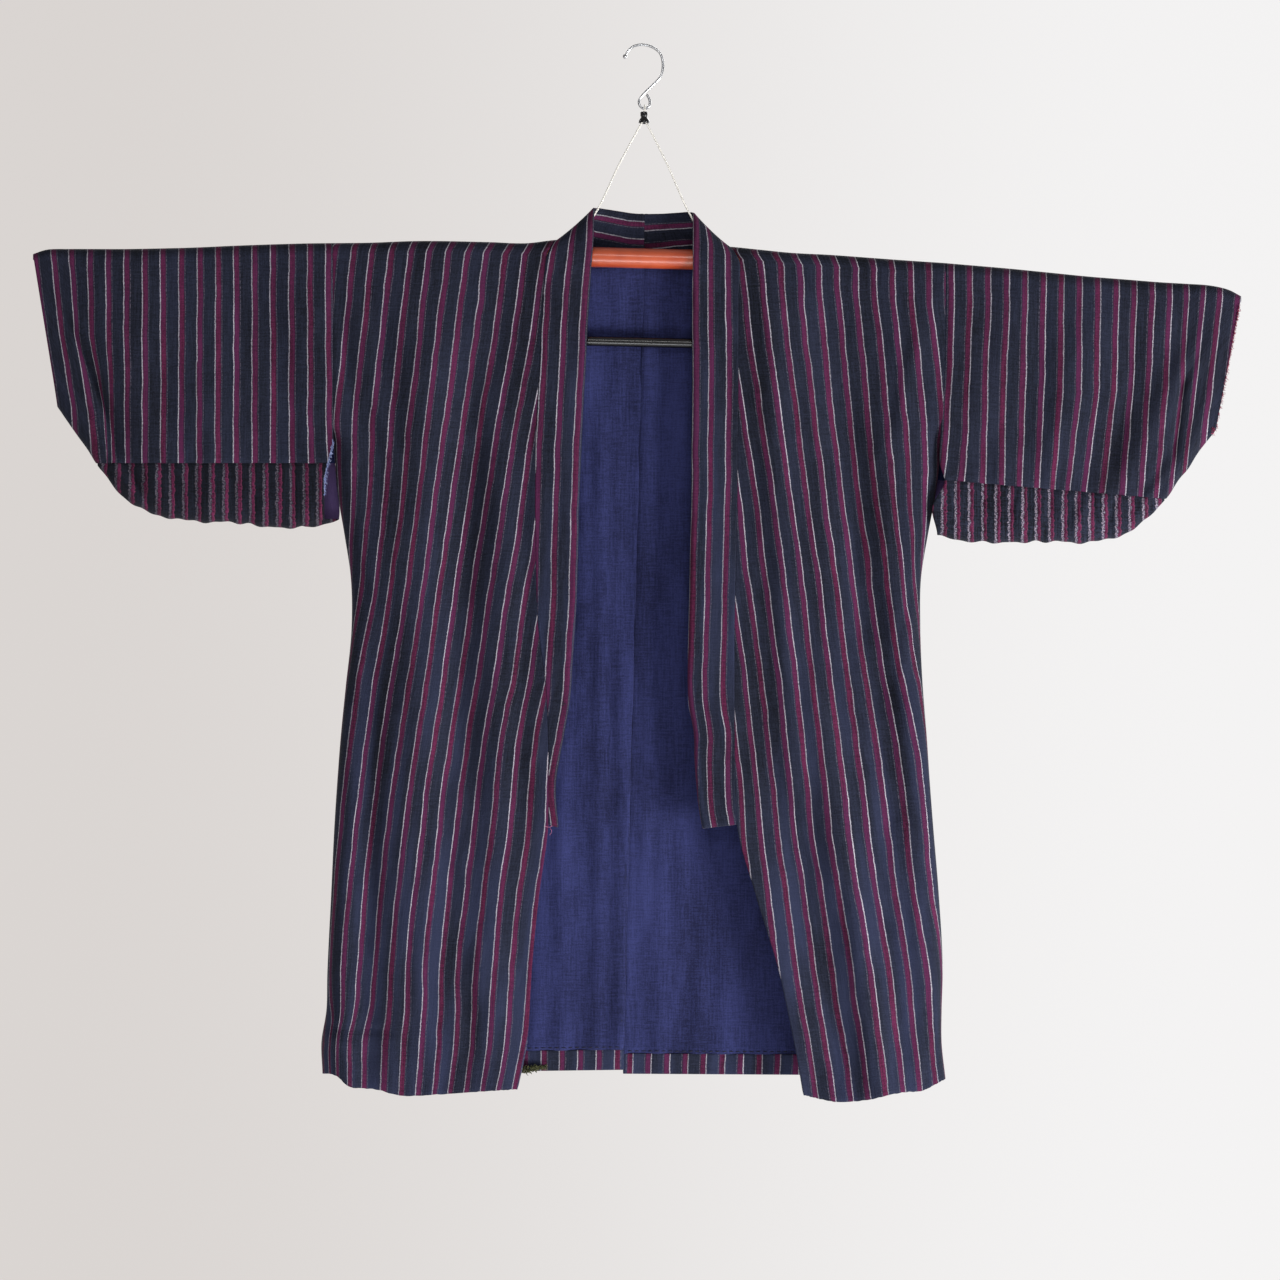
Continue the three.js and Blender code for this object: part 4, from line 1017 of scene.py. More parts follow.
def sleeve_stripes(side, x, z):
    """Places across the stripes in repeats. A line that starts at a place on the top has moved
    in by a lean that grows down the sleeve, so the place at the top is found by stepping back."""
    rows, heights = SLEEVE_LEAN[side], SLEEVE_LEAN_HEIGHTS[side]
    start = x.copy()
    for _ in range(6):
        middle, low = read(rows["x"], rows["middle"], start), read(rows["x"], rows["low"], start)
        share = np.interp(-z, [-h for h in heights], SLEEVE_LEAN_SHARES)
        lean = np.where(share < 1, middle * share, mix(middle, low, share - 1))
        start = mix(start, x + lean, 0.6)
    if side == "left":
        start = start + CUFF_GATHER * ease((start - CUFF_GATHER_FROM) / CUFF_GATHER_LENGTH)
    return -(start - SLEEVE_STRIPE_FROM[side]) / SLEEVE_STRIPE_REPEAT[side]


def sleeve(side):
    """One sleeve as a closed wall, from the front's lower edge over the arm to the back's."""
    lines = sleeve_lines(side, np.linspace(0, 1, SLEEVE_STATIONS))
    top, foot, fill, seam_at = lines
    over = SHOULDER_ROUND * fill
    arc_share = (over / (top[:, 1] - foot[:, 1]))[:, None]
    low_share = np.minimum(1, seam_at)[:, None]
    fall = mix(arc_share, low_share, crowded(SLEEVE_DROPS, 0.5)[None, :])
    front = sleeve_point(side, lines, -1, fall, CLOSED_HALF)[:, ::-1]
    back = sleeve_point(side, lines, 1, fall, CLOSED_HALF)
    angle = np.linspace(0, math.pi, SLEEVE_OVER + 1)[None, 1:-1]
    arc = np.stack(np.broadcast_arrays(
        outward(side) * (top[:, :1] + follow(side, 1, top[:, :1], CHEST_HEIGHT)),
        -SHOULDER_DEPTH * fill[:, None] * np.cos(angle),
        top[:, 1:] - over[:, None] * (1 - np.sin(angle)),
    ), -1)
    grid = np.concatenate([front, arc, back], axis=1)
    x, z = np.abs(grid[..., 0]), grid[..., 2]
    stripes = sleeve_stripes(side, x - STRIPES_FOLLOW * follow(side, 1, x, z), z)
    length = lengths_across(grid) + SLEEVE_WEAR_AND_LIGHT_SHIFT
    piece = cloth_wall(
        f"striped_sleeve_{side}", grid, cloth_marks(stripes, length, 0), cloth_marks(stripes, length, 1),
        WALL, FACING,
    )
    return settle(piece, striped_cotton, [f"sleeve_{side}"])


SLEEVES = {side: sleeve(side) for side in SIDES}
print("sleeves:", [len(p.data.polygons) for p in SLEEVES.values()], "faces")

# %% [markdown]
# ## The sleeves' bottom strips
# The bottom of each sleeve is pieced with a strip of another, closer stripe, a trough from the
# front seam round the foot to the back seam. It was cut from an older cloth and puckers as it turns.
# It reads the sleeve's own sections, so the two always meet at the seam.
# %% Build the sleeves' bottom strips
PATCH_STATIONS = 110
PATCH_STEPS = 22
PATCH_STRIPE_FROM = {"right": 335.1, "left": 322.2}
# A shift of the strips' count of repeats: the right strip's stays low, where its ground and pale line are
# drawn darker as painted shade for the side away from the light; the left strip's is moved past it.
PATCH_SHADE_SHIFT = {"right": 0, "left": 60}
PATCH_PUCKER = 0.35


def patch(side):
    """The strip along a sleeve's bottom, as a closed wall."""
    lines = sleeve_lines(side, mix(PATCH_FROM[side], 1, np.linspace(0, 1, PATCH_STATIONS)))
    top, foot, fill, seam_at = lines
    length = np.linalg.norm(top - foot, axis=1)
    seam_share = (seam_at + SEAM_GAP / length)[:, None]
    t = ((np.arange(PATCH_STEPS) + 1) / PATCH_STEPS)[None, :] ** 1.6
    share = mix(1, seam_share, t)
    front = sleeve_point(side, lines, -1, share, 0)[:, ::-1]
    back = sleeve_point(side, lines, 1, share, 0)
    middle = sleeve_point(side, lines, 1, np.ones((PATCH_STATIONS, 1)), 0)
    grid = np.concatenate([front, middle, back], axis=1)
    pucker = ripple(np.abs(grid[..., 0]) * 3, grid[..., 2] * 2, 31) * PATCH_PUCKER
    grid[..., 1] += pucker * np.sign(grid[..., 1])
    repeats = outward(side) * (np.abs(grid[..., 0]) - PATCH_STRIPE_FROM[side]) / PATCH_REPEAT
    repeats = repeats + PATCH_SHADE_SHIFT[side]
    down = lengths_across(grid)
    piece = cloth_wall(
        f"striped_patch_{side}", grid, cloth_marks(repeats, down, 0), cloth_marks(repeats, down, 1),
        WALL, FACING,
    )
    return settle(piece, patch_cotton, [f"sleeve_patch_{side}"])


PATCHES = {side: patch(side) for side in SIDES}
print("bottom strips:", [len(p.data.polygons) for p in PATCHES.values()], "faces")

# %% [markdown]
# ## Collar
# The collar is a strip folded double, sewn to the front edges and round the back of the neck. Its
# stripes keep to the free, folded edge, and the seam cuts across them where the collar narrows.
# %% Build the collar
COLLAR_WALL = 2.2
COLLAR_WIDTH = 47.5
COLLAR_TURN = 3.2
COLLAR_LIFT = 1
COLLAR_GAP = 0.9
COLLAR_STEP = 4
COLLAR_FACE_COLUMNS = 22
COLLAR_FRONT = {
    "right": table("z face drop", [
        (-801, 9, -3), (-780, 6, 0), (-757, 6, 0), (-735, 9.5, 0), (-705, 15.5, 0), (-677, 21.6, 0),
        (-640, 28, 0), (-600, 36, 0), (-545, 41, 0), (-505, 42.5, 0), (-462, 43.8, 0), (-400, 45.5, 0),
        (-340, 45.9, 0), (-298, 45.9, 0), (-250, 45.9, 3),
    ]),
    "left": table("z face drop", [
        (-801, 34, -4), (-770, 37.5, -1), (-735, 39.6, 0), (-710, 40, 0), (-677, 45.5, 0), (-600, 45.5, 0),
        (-545, 45.3, 0), (-462, 45.5, 0), (-400, 45.2, 0), (-340, 45.4, 0), (-298, 45.7, 0), (-256, 45.9, 3),
    ]),
}
COLLAR_NECK = {
    "right": [
        (98.6, -13.6, -221, 52, -15, -213), (93, -10, -206.5, 51, -11, -187),
        (84.9, 0, -200.2, 50, -1, -168.5), (74, 13, -210.4, 46, 9, -166.5),
        (61, 13.8, -213, 37, 14.5, -167.5), (41, 14.6, -218.5, 21, 16.4, -170),
        (21, 14.9, -220.6, 10, 17, -171.6),
    ],
    "left": [
        (99.4, -13.9, -226, 52.5, -15, -219), (94, -10, -212.5, 53, -11, -193),
        (85.9, 0, -207, 52.5, -1, -173.5), (74, 13, -217, 47, 9, -170.5),
        (61, 13.8, -218.4, 37, 14.5, -171), (41, 14.6, -220.2, 21, 16.4, -172),
        (21, 14.9, -220.9, 10, 17, -172.2),
    ],
}
COLLAR_MIDDLE = (15, -221, 17, -172.4)
COLLAR_RIGHT_FROM = 0.37
COLLAR_LEFT_STRIPES = table("from_edge repeats", [
    (-60, -4.1), (0, -0.97), (6.6, -0.645), (14.9, 0), (60, 2.44),
])
COLLAR_SLIP = table("z slip", [
    (-801, 6.8), (-792, 6.6), (-751, 4.2), (-700, 2), (-668, 1.3), (-600, 0.6), (-504, 0.4), (-462, 0),
    (-200, 0),
])
COLLAR_INSIDE_FROM = {"right": 8.5, "left": 18.5}
COLLAR_INSIDE_REPEAT = {"right": 18.5, "left": -18.7}
COLLAR_UNEVEN = 0.35
NECK_SAMPLES = 9


def collar_edges(side):
    """Seam edge and free edge of the collar, from its lower end to the back of the neck. Down the
    front they follow the panel's edge, and round the neck a curve through a few placed points."""
    rows, sign = COLLAR_FRONT[side], outward(side)
    z = np.arange(rows["z"][0], rows["z"][-1] + 0.1, COLLAR_STEP)
    face, drop = read(rows["z"], rows["face"], z), read(rows["z"], rows["drop"], z)
    edge = read(FRONT[side]["edge_z"], FRONT[side]["edge"], z)
    seam = body_point(side, -1, edge, z, FRONT[side]["side"][0])
    seam[:, 0] -= sign * COLLAR_GAP
    free = seam + np.stack([-sign * face, -COLLAR_LIFT * face / COLLAR_WIDTH, drop], -1)
    neck = np.array(COLLAR_NECK[side]) * [sign, 1, 1, sign, 1, 1]
    centre = centre_seam(CENTRE_TOP) + sign * SEAM_GAP / 2
    last = [centre, *COLLAR_MIDDLE[:2], centre, *COLLAR_MIDDLE[2:]]
    both = np.concatenate([seam, free], axis=1)
    picked = np.concatenate([both[[-9, -1]], neck, [last]])
    at = np.linspace(1, len(picked) - 1, NECK_SAMPLES * (len(picked) - 2) + 1)[1:]
    round_neck = read(np.arange(len(picked)), picked, at)
    whole = np.concatenate([both, round_neck])
    return whole[:, :3], whole[:, 3:]


def collar_stripes(side, from_edge, z):
    """Places across the stripes, on the face and on the part folded behind, from the distance to
    the free edge. At the left the cloth has also slipped towards the edge near the lower end."""
    inner = (from_edge - COLLAR_INSIDE_FROM[side]) / COLLAR_INSIDE_REPEAT[side]
    if side == "right":
        return COLLAR_RIGHT_FROM - from_edge / STRIPE_REPEAT, inner
    slipped = from_edge + read(COLLAR_SLIP["z"], COLLAR_SLIP["slip"], z)
    return np.interp(slipped, COLLAR_LEFT_STRIPES["from_edge"], COLLAR_LEFT_STRIPES["repeats"]), inner


def collar(side):
    """Half the collar: a flat face, a small round turn at the free edge, and the rest folded
    behind, each point found by its length along the fold."""
    seam, free = collar_edges(side)
    seen = np.linalg.norm(free - seam, axis=1)[:, None]
    out = ((free - seam) / seen)[:, None]
    flat = np.maximum(1, seen - COLLAR_TURN)
    under = np.maximum(1.6, COLLAR_WIDTH - flat)
    bend = np.minimum(under * 0.7, math.pi * COLLAR_TURN)
    face = flat * crowded(COLLAR_FACE_COLUMNS, 0.5)[None, :]
    turn = flat + bend * (np.arange(1, 9) / 8)[None, :]
    tail = flat + bend + (under - bend) * (np.arange(1, 5) / 4)[None, :]
    length = np.concatenate([face, turn, tail], axis=1)
    angle = np.clip(length - flat, 0, bend) / COLLAR_TURN
    past = np.maximum(0, length - flat - bend)
    forward = np.minimum(length, flat) + COLLAR_TURN * np.sin(angle) + past * np.cos(angle)
    behind = COLLAR_TURN * (1 - np.cos(angle)) + past * np.sin(angle)
    grid = seam[:, None] + out * forward[..., None] + np.array([0, 1, 0]) * behind[..., None]
    from_edge = flat + COLLAR_TURN - length
    uneven = COLLAR_UNEVEN * ripple(grid[..., 0] * 1.6, grid[..., 2], 51 + (side == "left"))
    grid[..., 1] -= uneven * ease(from_edge / 8) * ease((flat - from_edge) / 8)
    outer, inner = collar_stripes(side, from_edge, free[:, 2:])
    down = lengths_down(grid)
    piece = cloth_wall(
        f"striped_collar_{side}", grid, cloth_marks(outer, down, 0), cloth_marks(inner, down, 0),
        COLLAR_WALL, FACING,
    )
    return settle(piece, striped_cotton, [f"collar_{side}"])


COLLARS = {side: collar(side) for side in SIDES}
print("collar halves:", [len(p.data.polygons) for p in COLLARS.values()], "faces")

# %% [markdown]
# ## Lining and turned-up hem
# Inside the open front the back's indigo lining shows, with a seam down its middle. It hangs looser
# than the outer cloth and ripples softly. Below it the striped hem is turned up on the inside.
# %% Build the lining and the turned-up hem
LINING_WALL = 0.9
LAYER_GAP = 0.45
LINING_COLUMNS = 70
LINING_STEP = 6
LEFT_LINING_SHIFT = 400
TURN_UP_ROWS = 9
TURN_UP_ROLL = 0.6
# Added to the turned-up hem's length down the cloth, so that it takes most of the lighter navy drawn near
# the hem: wear and painted light.
TURN_UP_WEAR_AND_LIGHT_SHIFT = 40
LINING_RIPPLES = [
    (-104, -240, -112, -1035, 10, 1.6), (-82, -330, -84, -1035, 8, 2.2), (-60, -300, -62, -760, 7, 1.1),
    (-42, -420, -47, -1035, 8, 2.9), (-24, -240, -26, -700, 7, 1.6), (-18, -640, -24, -1035, 8, 3.1),
    (8, -300, 2, -860, 8, 2.2), (26, -520, 16, -1035, 8, 1.9), (44, -260, 40, -900, 9, 2.6),
    (66, -420, 58, -1035, 9, 1.7), (90, -300, 84, -1035, 10, 2.2), (120, -400, 124, -1035, 12, 1.8),
]


def inside_back(side, forward, step, ended):
    """The back panel's own middle points without its rounded side, moved to the front and ended
    some way above the hem."""
    across = np.linspace(0.14, 1, LINING_COLUMNS)[None, :]
    skipped = len(BACK_NECK[side]["edge"])
    rows = {key: column[skipped:].copy() for key, column in back_table(side).items()}
    for key in ("side_z", "edge_z"):
        rows[key][-1] += ended
    grid = hanging_rows(side, 1, rows, step, 0, across)
    grid[..., 1] -= forward
    return grid


def lining(side):
    """The lining of one half of the back, ended just above the turned-up hem: the back's own
    surface moved forward, with ripples that start below the shoulder."""
    grid = inside_back(side, WALL / 2 + LAYER_GAP + LINING_WALL / 2, LINING_STEP, TURN_UP + SEAM_GAP)
    share = np.linspace(0, 1, len(grid))[:, None]
    ripples = out_from(LINING_RIPPLES, FOLD_FADE, grid[..., 0], grid[..., 2])
    grid[..., 1] -= ripples * ease(share / 0.08)
    across = grid[..., 0] + LEFT_LINING_SHIFT * (side == "left")
    marks = cloth_marks(across, lengths_down(grid), 0)
    piece = cloth_wall(f"indigo_lining_{side}", grid, marks, marks, LINING_WALL, FACING)
    return settle(piece, indigo_lining, [f"lining_{side}"]), grid


def turn_up(side):
    """The striped hem turned up inside the back: the back's last row repeated upwards, lying close
    to it at the bottom fold and standing off a little at the top."""
    hem = inside_back(side, 0, BODY_STEP, 0)[-1:]
    rise = np.linspace(1, 0, TURN_UP_ROWS)[:, None] * TURN_UP
    z = hem[..., 2] + rise
    row = body_point(side, 1, outward(side) * hem[..., 0], z, side_edge(side, z[:, :1]))
    row[..., 1] -= WALL + LAYER_GAP + TURN_UP_ROLL - TURN_UP_ROLL * np.cos(math.pi * rise / TURN_UP)
    z = row[..., 2]
    stripes = STRIPES_AT_CENTRE - np.abs(row[..., 0] - centre_seam(z)) / STRIPE_REPEAT
    marks = cloth_marks(stripes, lengths_down(row) + TURN_UP_WEAR_AND_LIGHT_SHIFT, 0)
    piece = cloth_wall(f"striped_hem_{side}", row, marks, marks, WALL, FACING)
    return settle(piece, striped_cotton, [f"hem_turn_up_{side}"])


LINING_GRIDS = {}
LININGS = {}
for side in SIDES:
    LININGS[side], LINING_GRIDS[side] = lining(side)
TURN_UPS = {side: turn_up(side) for side in SIDES}
inside_pieces = (*LININGS.values(), *TURN_UPS.values())
print("linings and turned-up hems:", [len(p.data.polygons) for p in inside_pieces], "faces")

# %% [markdown]
# ## Hanger finishes
# A kimono hanger is a lacquered tube with an arm sliding out of each end, a wire hook on a cord
# that is bunched by a small toggle, and a thin black rod swinging below for an obi or trousers.
# One function makes all its finishes: a hard surface whose tone and gloss drift a little, as handled
# things do, with a clear coat over the lacquer.
# %% Hanger materials
def hard_finish(name, deep, light, roughness, metallic=0.0, coat=0.0, spots=60.0, coat_roughness=0.12):
    """A hard material whose tone and roughness drift a little over the surface, between two
    colours given from 0 to 255."""
    material = bpy.data.materials.new(name)
    material.use_nodes = True
    material.node_tree.nodes.clear()
    n = Nodes(material.node_tree)
    place = n.add("ShaderNodeTexCoord").outputs["Object"]
    drift = n.noise(place, spots, 3.0, 0.6)
    shader = n.add("ShaderNodeBsdfPrincipled")
    tone = n.blend(n.step(drift, 0.35, 0.65), linear(*deep), linear(*light))
    n.put(tone, shader.inputs["Base Color"])
    n.put(n.step(drift, 0.3, 0.7, roughness * 0.85, roughness * 1.2), shader.inputs["Roughness"])
    constant(shader, Metallic=metallic, Coat_Weight=coat, Coat_Roughness=coat_roughness)
    n.put(shader.outputs[0], n.add("ShaderNodeOutputMaterial").inputs[0])
    return material


lacquer = hard_finish(
    "tube_lacquer_look", (166, 62, 26), (190, 80, 40), 0.36, coat=1.0, spots=25.0, coat_roughness=0.24
)
black_gloss = hard_finish("black_plastic_look", (6, 6, 8), (14, 14, 17), 0.22, coat=0.3)
steel = hard_finish("steel_wire_look", (170, 172, 176), (205, 206, 208), 0.22, metallic=1.0)
cord_white = hard_finish("white_cord_look", (220, 217, 210), (240, 238, 232), 0.9, spots=900.0)
print("hanger finishes:", [m.name for m in (lacquer, black_gloss, steel, cord_white)])

# %% [markdown]
# ## The hanger's bars
# The tube, its arms and the rod are turned forms, each one profile carried once round a line. Closed
# solids with rounded lips catch the light along their ends as drawn metal and plastic do. The tube
# hangs a little lower at the wearer's left, so its axis and the rod's are sloping lines.
# %% Build the hanger's bars
TUBE_RADIUS = 10.25
TUBE_BORE = 9.4
TUBE_HALF = 120
TUBE_HEIGHT, TUBE_LEAN = -218.7, -0.0265
ARM_RADIUS = 9
ARM_END = {"right": (596, -221.5), "left": (588, -260)}
ROD_RADIUS = 5.15
ROD_HALF = 140
ROD_HEIGHT, ROD_LEAN = -305.1, -0.0238
LINK_AT = 112
LINK_RADIUS = 1.5
TOUCHING = 0.3
POINT = 0.001


def tube_axis(x):
    """Height of the centre tube's axis, a sloping line."""
    return TUBE_HEIGHT + TUBE_LEAN * x


def rod_axis(x):
    """Height of the black rod's axis, a sloping line."""
    return ROD_HEIGHT + ROD_LEAN * x


def turned(name, start, end, profile, sides):
    """A turned bar between two points: profile rows are the distance from the start and the
    radius. The section is upright across the bar."""
    start, end = np.array(start, float), np.array(end, float)
    length = np.linalg.norm(end - start)
    ahead = (end - start) / length
    first = np.cross(ahead, [0, 1, 0])
    second = np.cross(first, ahead)
    angle = 2 * math.pi * np.arange(sides) / sides
    ring = np.cos(angle)[:, None] * first + np.sin(angle)[:, None] * second
    profile = np.array(profile, float)
    points = start + profile[:, :1, None] * ahead + profile[:, 1:, None] * ring
    rows = len(profile)
    place = np.arange(rows * sides).reshape(rows, sides)
    ahead_place = np.roll(place, -1, axis=1)
    a, b, c, d = place[:-1], ahead_place[:-1], ahead_place[1:], place[1:]
    faces = np.stack([a, b, c, d], -1).reshape(-1, 4)
    if np.allclose(profile[0], profile[-1]):
        points = points[:-1]
        faces = faces % ((rows - 1) * sides)
    return new_mesh(name, points.reshape(-1, 3), faces.tolist())


def solid_bar(name, start, end, radius, lip, sides):
    """A solid round bar, its ends rounded by a quarter circle of radius lip."""
    length = math.dist(start, end)
    angle = np.linspace(0, math.pi / 2, 7)
    lips = [(lip * (1 - math.sin(a)), radius - lip * (1 - math.cos(a))) for a in angle]
    far = [(length - inward, size) for inward, size in lips]
    return turned(name, start, end, [(0, POINT), *lips[::-1], *far, (length, POINT)], sides)


def open_tube(name, start, end, radius, bore, sides):
    """A tube open at both ends, each lip a half circle over its wall."""
    length, lip = math.dist(start, end), (radius - bore) / 2
    angle = np.linspace(0, math.pi, 9)
    middle = (radius + bore) / 2
    near = [(lip - lip * math.sin(a), middle - lip * math.cos(a)) for a in angle]
    far = [(length - lip + lip * math.sin(a), middle + lip * math.cos(a)) for a in angle]
    return turned(name, start, end, near + far + near[:1], sides)


tube = open_tube(
    "hanger_tube_lacquered", (-TUBE_HALF, 0, tube_axis(-TUBE_HALF)), (TUBE_HALF, 0, tube_axis(TUBE_HALF)),
    TUBE_RADIUS, TUBE_BORE, 72,
)
settle(tube, lacquer, ["hanger_tube"])
for side in SIDES:
    sign = outward(side)
    mouth = (sign * (TUBE_HALF - 0.5), 0, tube_axis(sign * TUBE_HALF))
    tip = (sign * ARM_END[side][0], 0, ARM_END[side][1])
    arm = solid_bar(f"hanger_arm_{side}_lacquered", mouth, tip, ARM_RADIUS, 2.5, 48)
    settle(arm, lacquer, [f"hanger_arm_{side}"])
rod_ends = [(x, 0, rod_axis(x)) for x in (-ROD_HALF, ROD_HALF)]
rod = solid_bar("hanger_rod_black", *rod_ends, ROD_RADIUS, 1.6, 40)
settle(rod, black_gloss, ["hanger_rod"])
for side in SIDES:
    x = outward(side) * LINK_AT
    top, bottom = tube_axis(x) - TUBE_RADIUS - TOUCHING, rod_axis(x) + ROD_RADIUS + TOUCHING
    link = solid_bar(f"hanger_link_{side}_wire", (x, 0, bottom), (x + POINT, 0, top), LINK_RADIUS, 0.5, 16)
    settle(link, steel, [f"hanger_link_{side}"])
print("tube and arms, tip to tip, mm:", ARM_END["right"][0] + ARM_END["left"][0])

# %% [markdown]
# ## Hook, toggle and cord
# The hook is one bent wire with a ball at its tip and an eye at its foot. The cord leaves the tube at
# both sides, runs up through the toggle and loops through the eye. Both are routes through a few
# placed points, with a round section carried along them. The cord is three strands laid round one
# another, because a plain smooth tube would look like plastic.
# %% Build the hook, the toggle and the cord
HOOK_WIRE = 1.35
HOOK_BALL = 2.4
TOGGLE_AT, TOGGLE_TOP, TOGGLE_LENGTH = 1.6, -68, 11.6
EYE_MIDDLE, EYE_BOTTOM = 2.4, -64.4
CORD_RADIUS = 1
CORD_FOOT = 70
CORD_LOOP = 3.1
HOOK_ROUTE = [
    (-18, 0, -10.8), (-14, 0, -4.2), (-8.6, 0, -0.2), (0, 0, 1.35), (10.6, 0, -1.4), (18.4, 0, -8),
    (21.1, 0, -19.6), (18.6, 0, -31.4), (9.2, 0, -41.6), (0.4, 0, -50.4), (-3.6, 0, -57), (-2, 0, -62.4),
    (EYE_MIDDLE, 0, EYE_BOTTOM), (6.8, 0, -62), (7.4, 0, -56), (4.6, 0, -50),
]


def smooth_route(points, count):
    """Many points on a smooth curve through a few, evenly spaced along it."""
    points = np.array(points, float)
    reach = np.concatenate([[0], np.cumsum(np.linalg.norm(np.diff(points, axis=0), axis=1) ** 0.5)])
    fine = read(reach, points, np.linspace(0, reach[-1], count * 8))
    run = np.concatenate([[0], np.cumsum(np.linalg.norm(np.diff(fine, axis=0), axis=1))])
    at = np.linspace(0, run[-1], count)
    return np.stack([np.interp(at, run, fine[:, k]) for k in range(3)], -1)


hook_line = smooth_route(HOOK_ROUTE, 130)
hook = tubes("hanger_hook_wire", hook_line[None], HOOK_WIRE, 16)
settle(hook, steel, ["hanger_hook"])
angle = np.linspace(0, math.pi, 17)
ball_profile = [(HOOK_BALL * (1 - math.cos(a)), max(POINT, HOOK_BALL * math.sin(a))) for a in angle]
ball_at = np.array(HOOK_ROUTE[0])
ball = turned(
    "hanger_hook_ball", ball_at - [0, 0, HOOK_BALL], ball_at + [POINT, 0, HOOK_BALL], ball_profile, 24
)
settle(ball, steel)

TOGGLE_PROFILE = [
    (0, 3.2), (0, 3.5), (0.15, 3.7), (0.5, 3.8), (4, 3.8), (4.4, 3.6), (4.8, 3.25), (5.3, 3.3), (6, 3.6),
    (7, 4.3), (8.4, 5.1), (10, 5.65), (11, 5.7), (11.4, 5.4), (11.6, 4.9), (11.6, 4.6), (9, 3.6), (6, 2.7),
    (2, 2.7), (0, 3.2),
]
toggle_foot = (TOGGLE_AT + POINT, 0, TOGGLE_TOP - TOGGLE_LENGTH)
toggle = turned("hanger_toggle_black", (TOGGLE_AT, 0, TOGGLE_TOP), toggle_foot, TOGGLE_PROFILE, 48)
settle(toggle, black_gloss, ["hanger_toggle"])

half_turn = math.pi * np.arange(5) / 4
loop = [(EYE_MIDDLE, -CORD_LOOP * math.cos(a), EYE_BOTTOM + CORD_LOOP * math.sin(a)) for a in half_turn]
feet = [(x, 0, tube_axis(x) + TUBE_RADIUS + TOUCHING + CORD_RADIUS) for x in (-CORD_FOOT, CORD_FOOT)]
CORD_ROUTE = [
    feet[0], (-45.5, 0, -167), (-24, -0.5, -122), (-2.9, -1.1, -83), (0.2, -1.3, -77.4),
    (1.5, -1.35, -73.2), (1.9, -1.4, -70.2), (2.1, -1.75, -67.8), *loop, (2.1, 1.75, -67.8),
    (1.8, 1.4, -70.2), (1.7, 1.35, -73.2), (3, 1.3, -77.4), (6.1, 1.1, -83), (26, 0.5, -123),
    (46.5, 0, -169), feet[1],
]
CORD_PITCH = 6.4
STRANDS, STRAND_RADIUS = 3, 0.5


def twisted(line, strands, radius, pitch):
    """Routes of the strands of a twisted cord: circles round a middle line that turn once in each
    pitch, every strand its share of a turn ahead of the last."""
    ahead = np.gradient(line, axis=0)
    ahead /= np.linalg.norm(ahead, axis=1, keepdims=True)
    first = np.cross(ahead, [0, 1, 0.2])
    first /= np.linalg.norm(first, axis=1, keepdims=True)
    second = np.cross(ahead, first)
    run = np.concatenate([[0], np.cumsum(np.linalg.norm(np.diff(line, axis=0), axis=1))])
    routes = []
    for strand in range(strands):
        turn = (2 * math.pi * (run / pitch + strand / strands))[:, None]
        routes.append(line + radius * (np.cos(turn) * first + np.sin(turn) * second))
    return np.array(routes)


cord_line = smooth_route(CORD_ROUTE, 900)
strand_routes = twisted(cord_line, STRANDS, STRAND_RADIUS, CORD_PITCH)
cord = tubes("hanger_cord_twisted", strand_routes, STRAND_RADIUS, 7)
settle(cord, cord_white, ["hanger_cord"])
cord_length = np.linalg.norm(np.diff(cord_line, axis=0), axis=1).sum()
print("hanger cord, mm:", round(cord_length))

# %% [markdown]
# ## Threads
# Sewing thread and worn warp threads stand out from the cloth, so they are real geometry. Each is a
# thin bent tube of a few sides, and all those of one place are one mesh, which keeps the scene light.
# %% Thread looks and helpers
THREAD_RADIUS = 0.28
STITCH_RADIUS = 0.45
STITCH_LIFT = 0.4
THREAD_COLOURS = {
    "indigo": ((12, 13, 26), (22, 23, 40)),
    "red": ((112, 30, 62), (158, 66, 96)),
    "blue": ((104, 118, 168), (160, 170, 208)),
    "olive": ((38, 42, 26), (84, 86, 52)),
    "pink": ((168, 92, 128), (196, 126, 156)),
}
THREAD = {
    name: hard_finish(f"{name}_thread_look", deep, light, 0.9, spots=400.0)
    for name, (deep, light) in THREAD_COLOURS.items()
}


def front_face(side, x, z, lift):
    """Points on the front face of the hanging cloth, a little in front of it."""
    depth = hang_depth(-1, side, x, z, np.maximum(0, shoulder_top(side, x) - z))
    points = np.stack(np.broadcast_arrays(outward(side) * x, -depth - WALL / 2 - lift, z), -1)
    return from_plane(points)


def loose_threads(name, starts, ahead, length, curl, colour, seed, radius=THREAD_RADIUS):
    """Loose threads in one mesh. Each runs on from its start, and waves of its own bend it more
    the further out it is."""
    rng = np.random.default_rng(seed)
    count = len(starts)
    t = np.linspace(0, 1, 9)[None, :, None]
    size = length * rng.uniform(0.35, 1, (count, 1, 1))
    heading = np.asarray(ahead, float) + rng.uniform(-0.45, 0.45, (count, 1, 3))
    turns = rng.uniform(0.4, 1.3, (count, 1, 3))
    shift = rng.uniform(0, 1, (count, 1, 3))
    waves = np.sin(2 * math.pi * (t * turns + shift))
    routes = np.asarray(starts)[:, None] + size * heading * t + curl * (waves - waves[:, :1]) * t
    return settle(tubes(name, routes, radius, 5, 0.5), THREAD[colour])


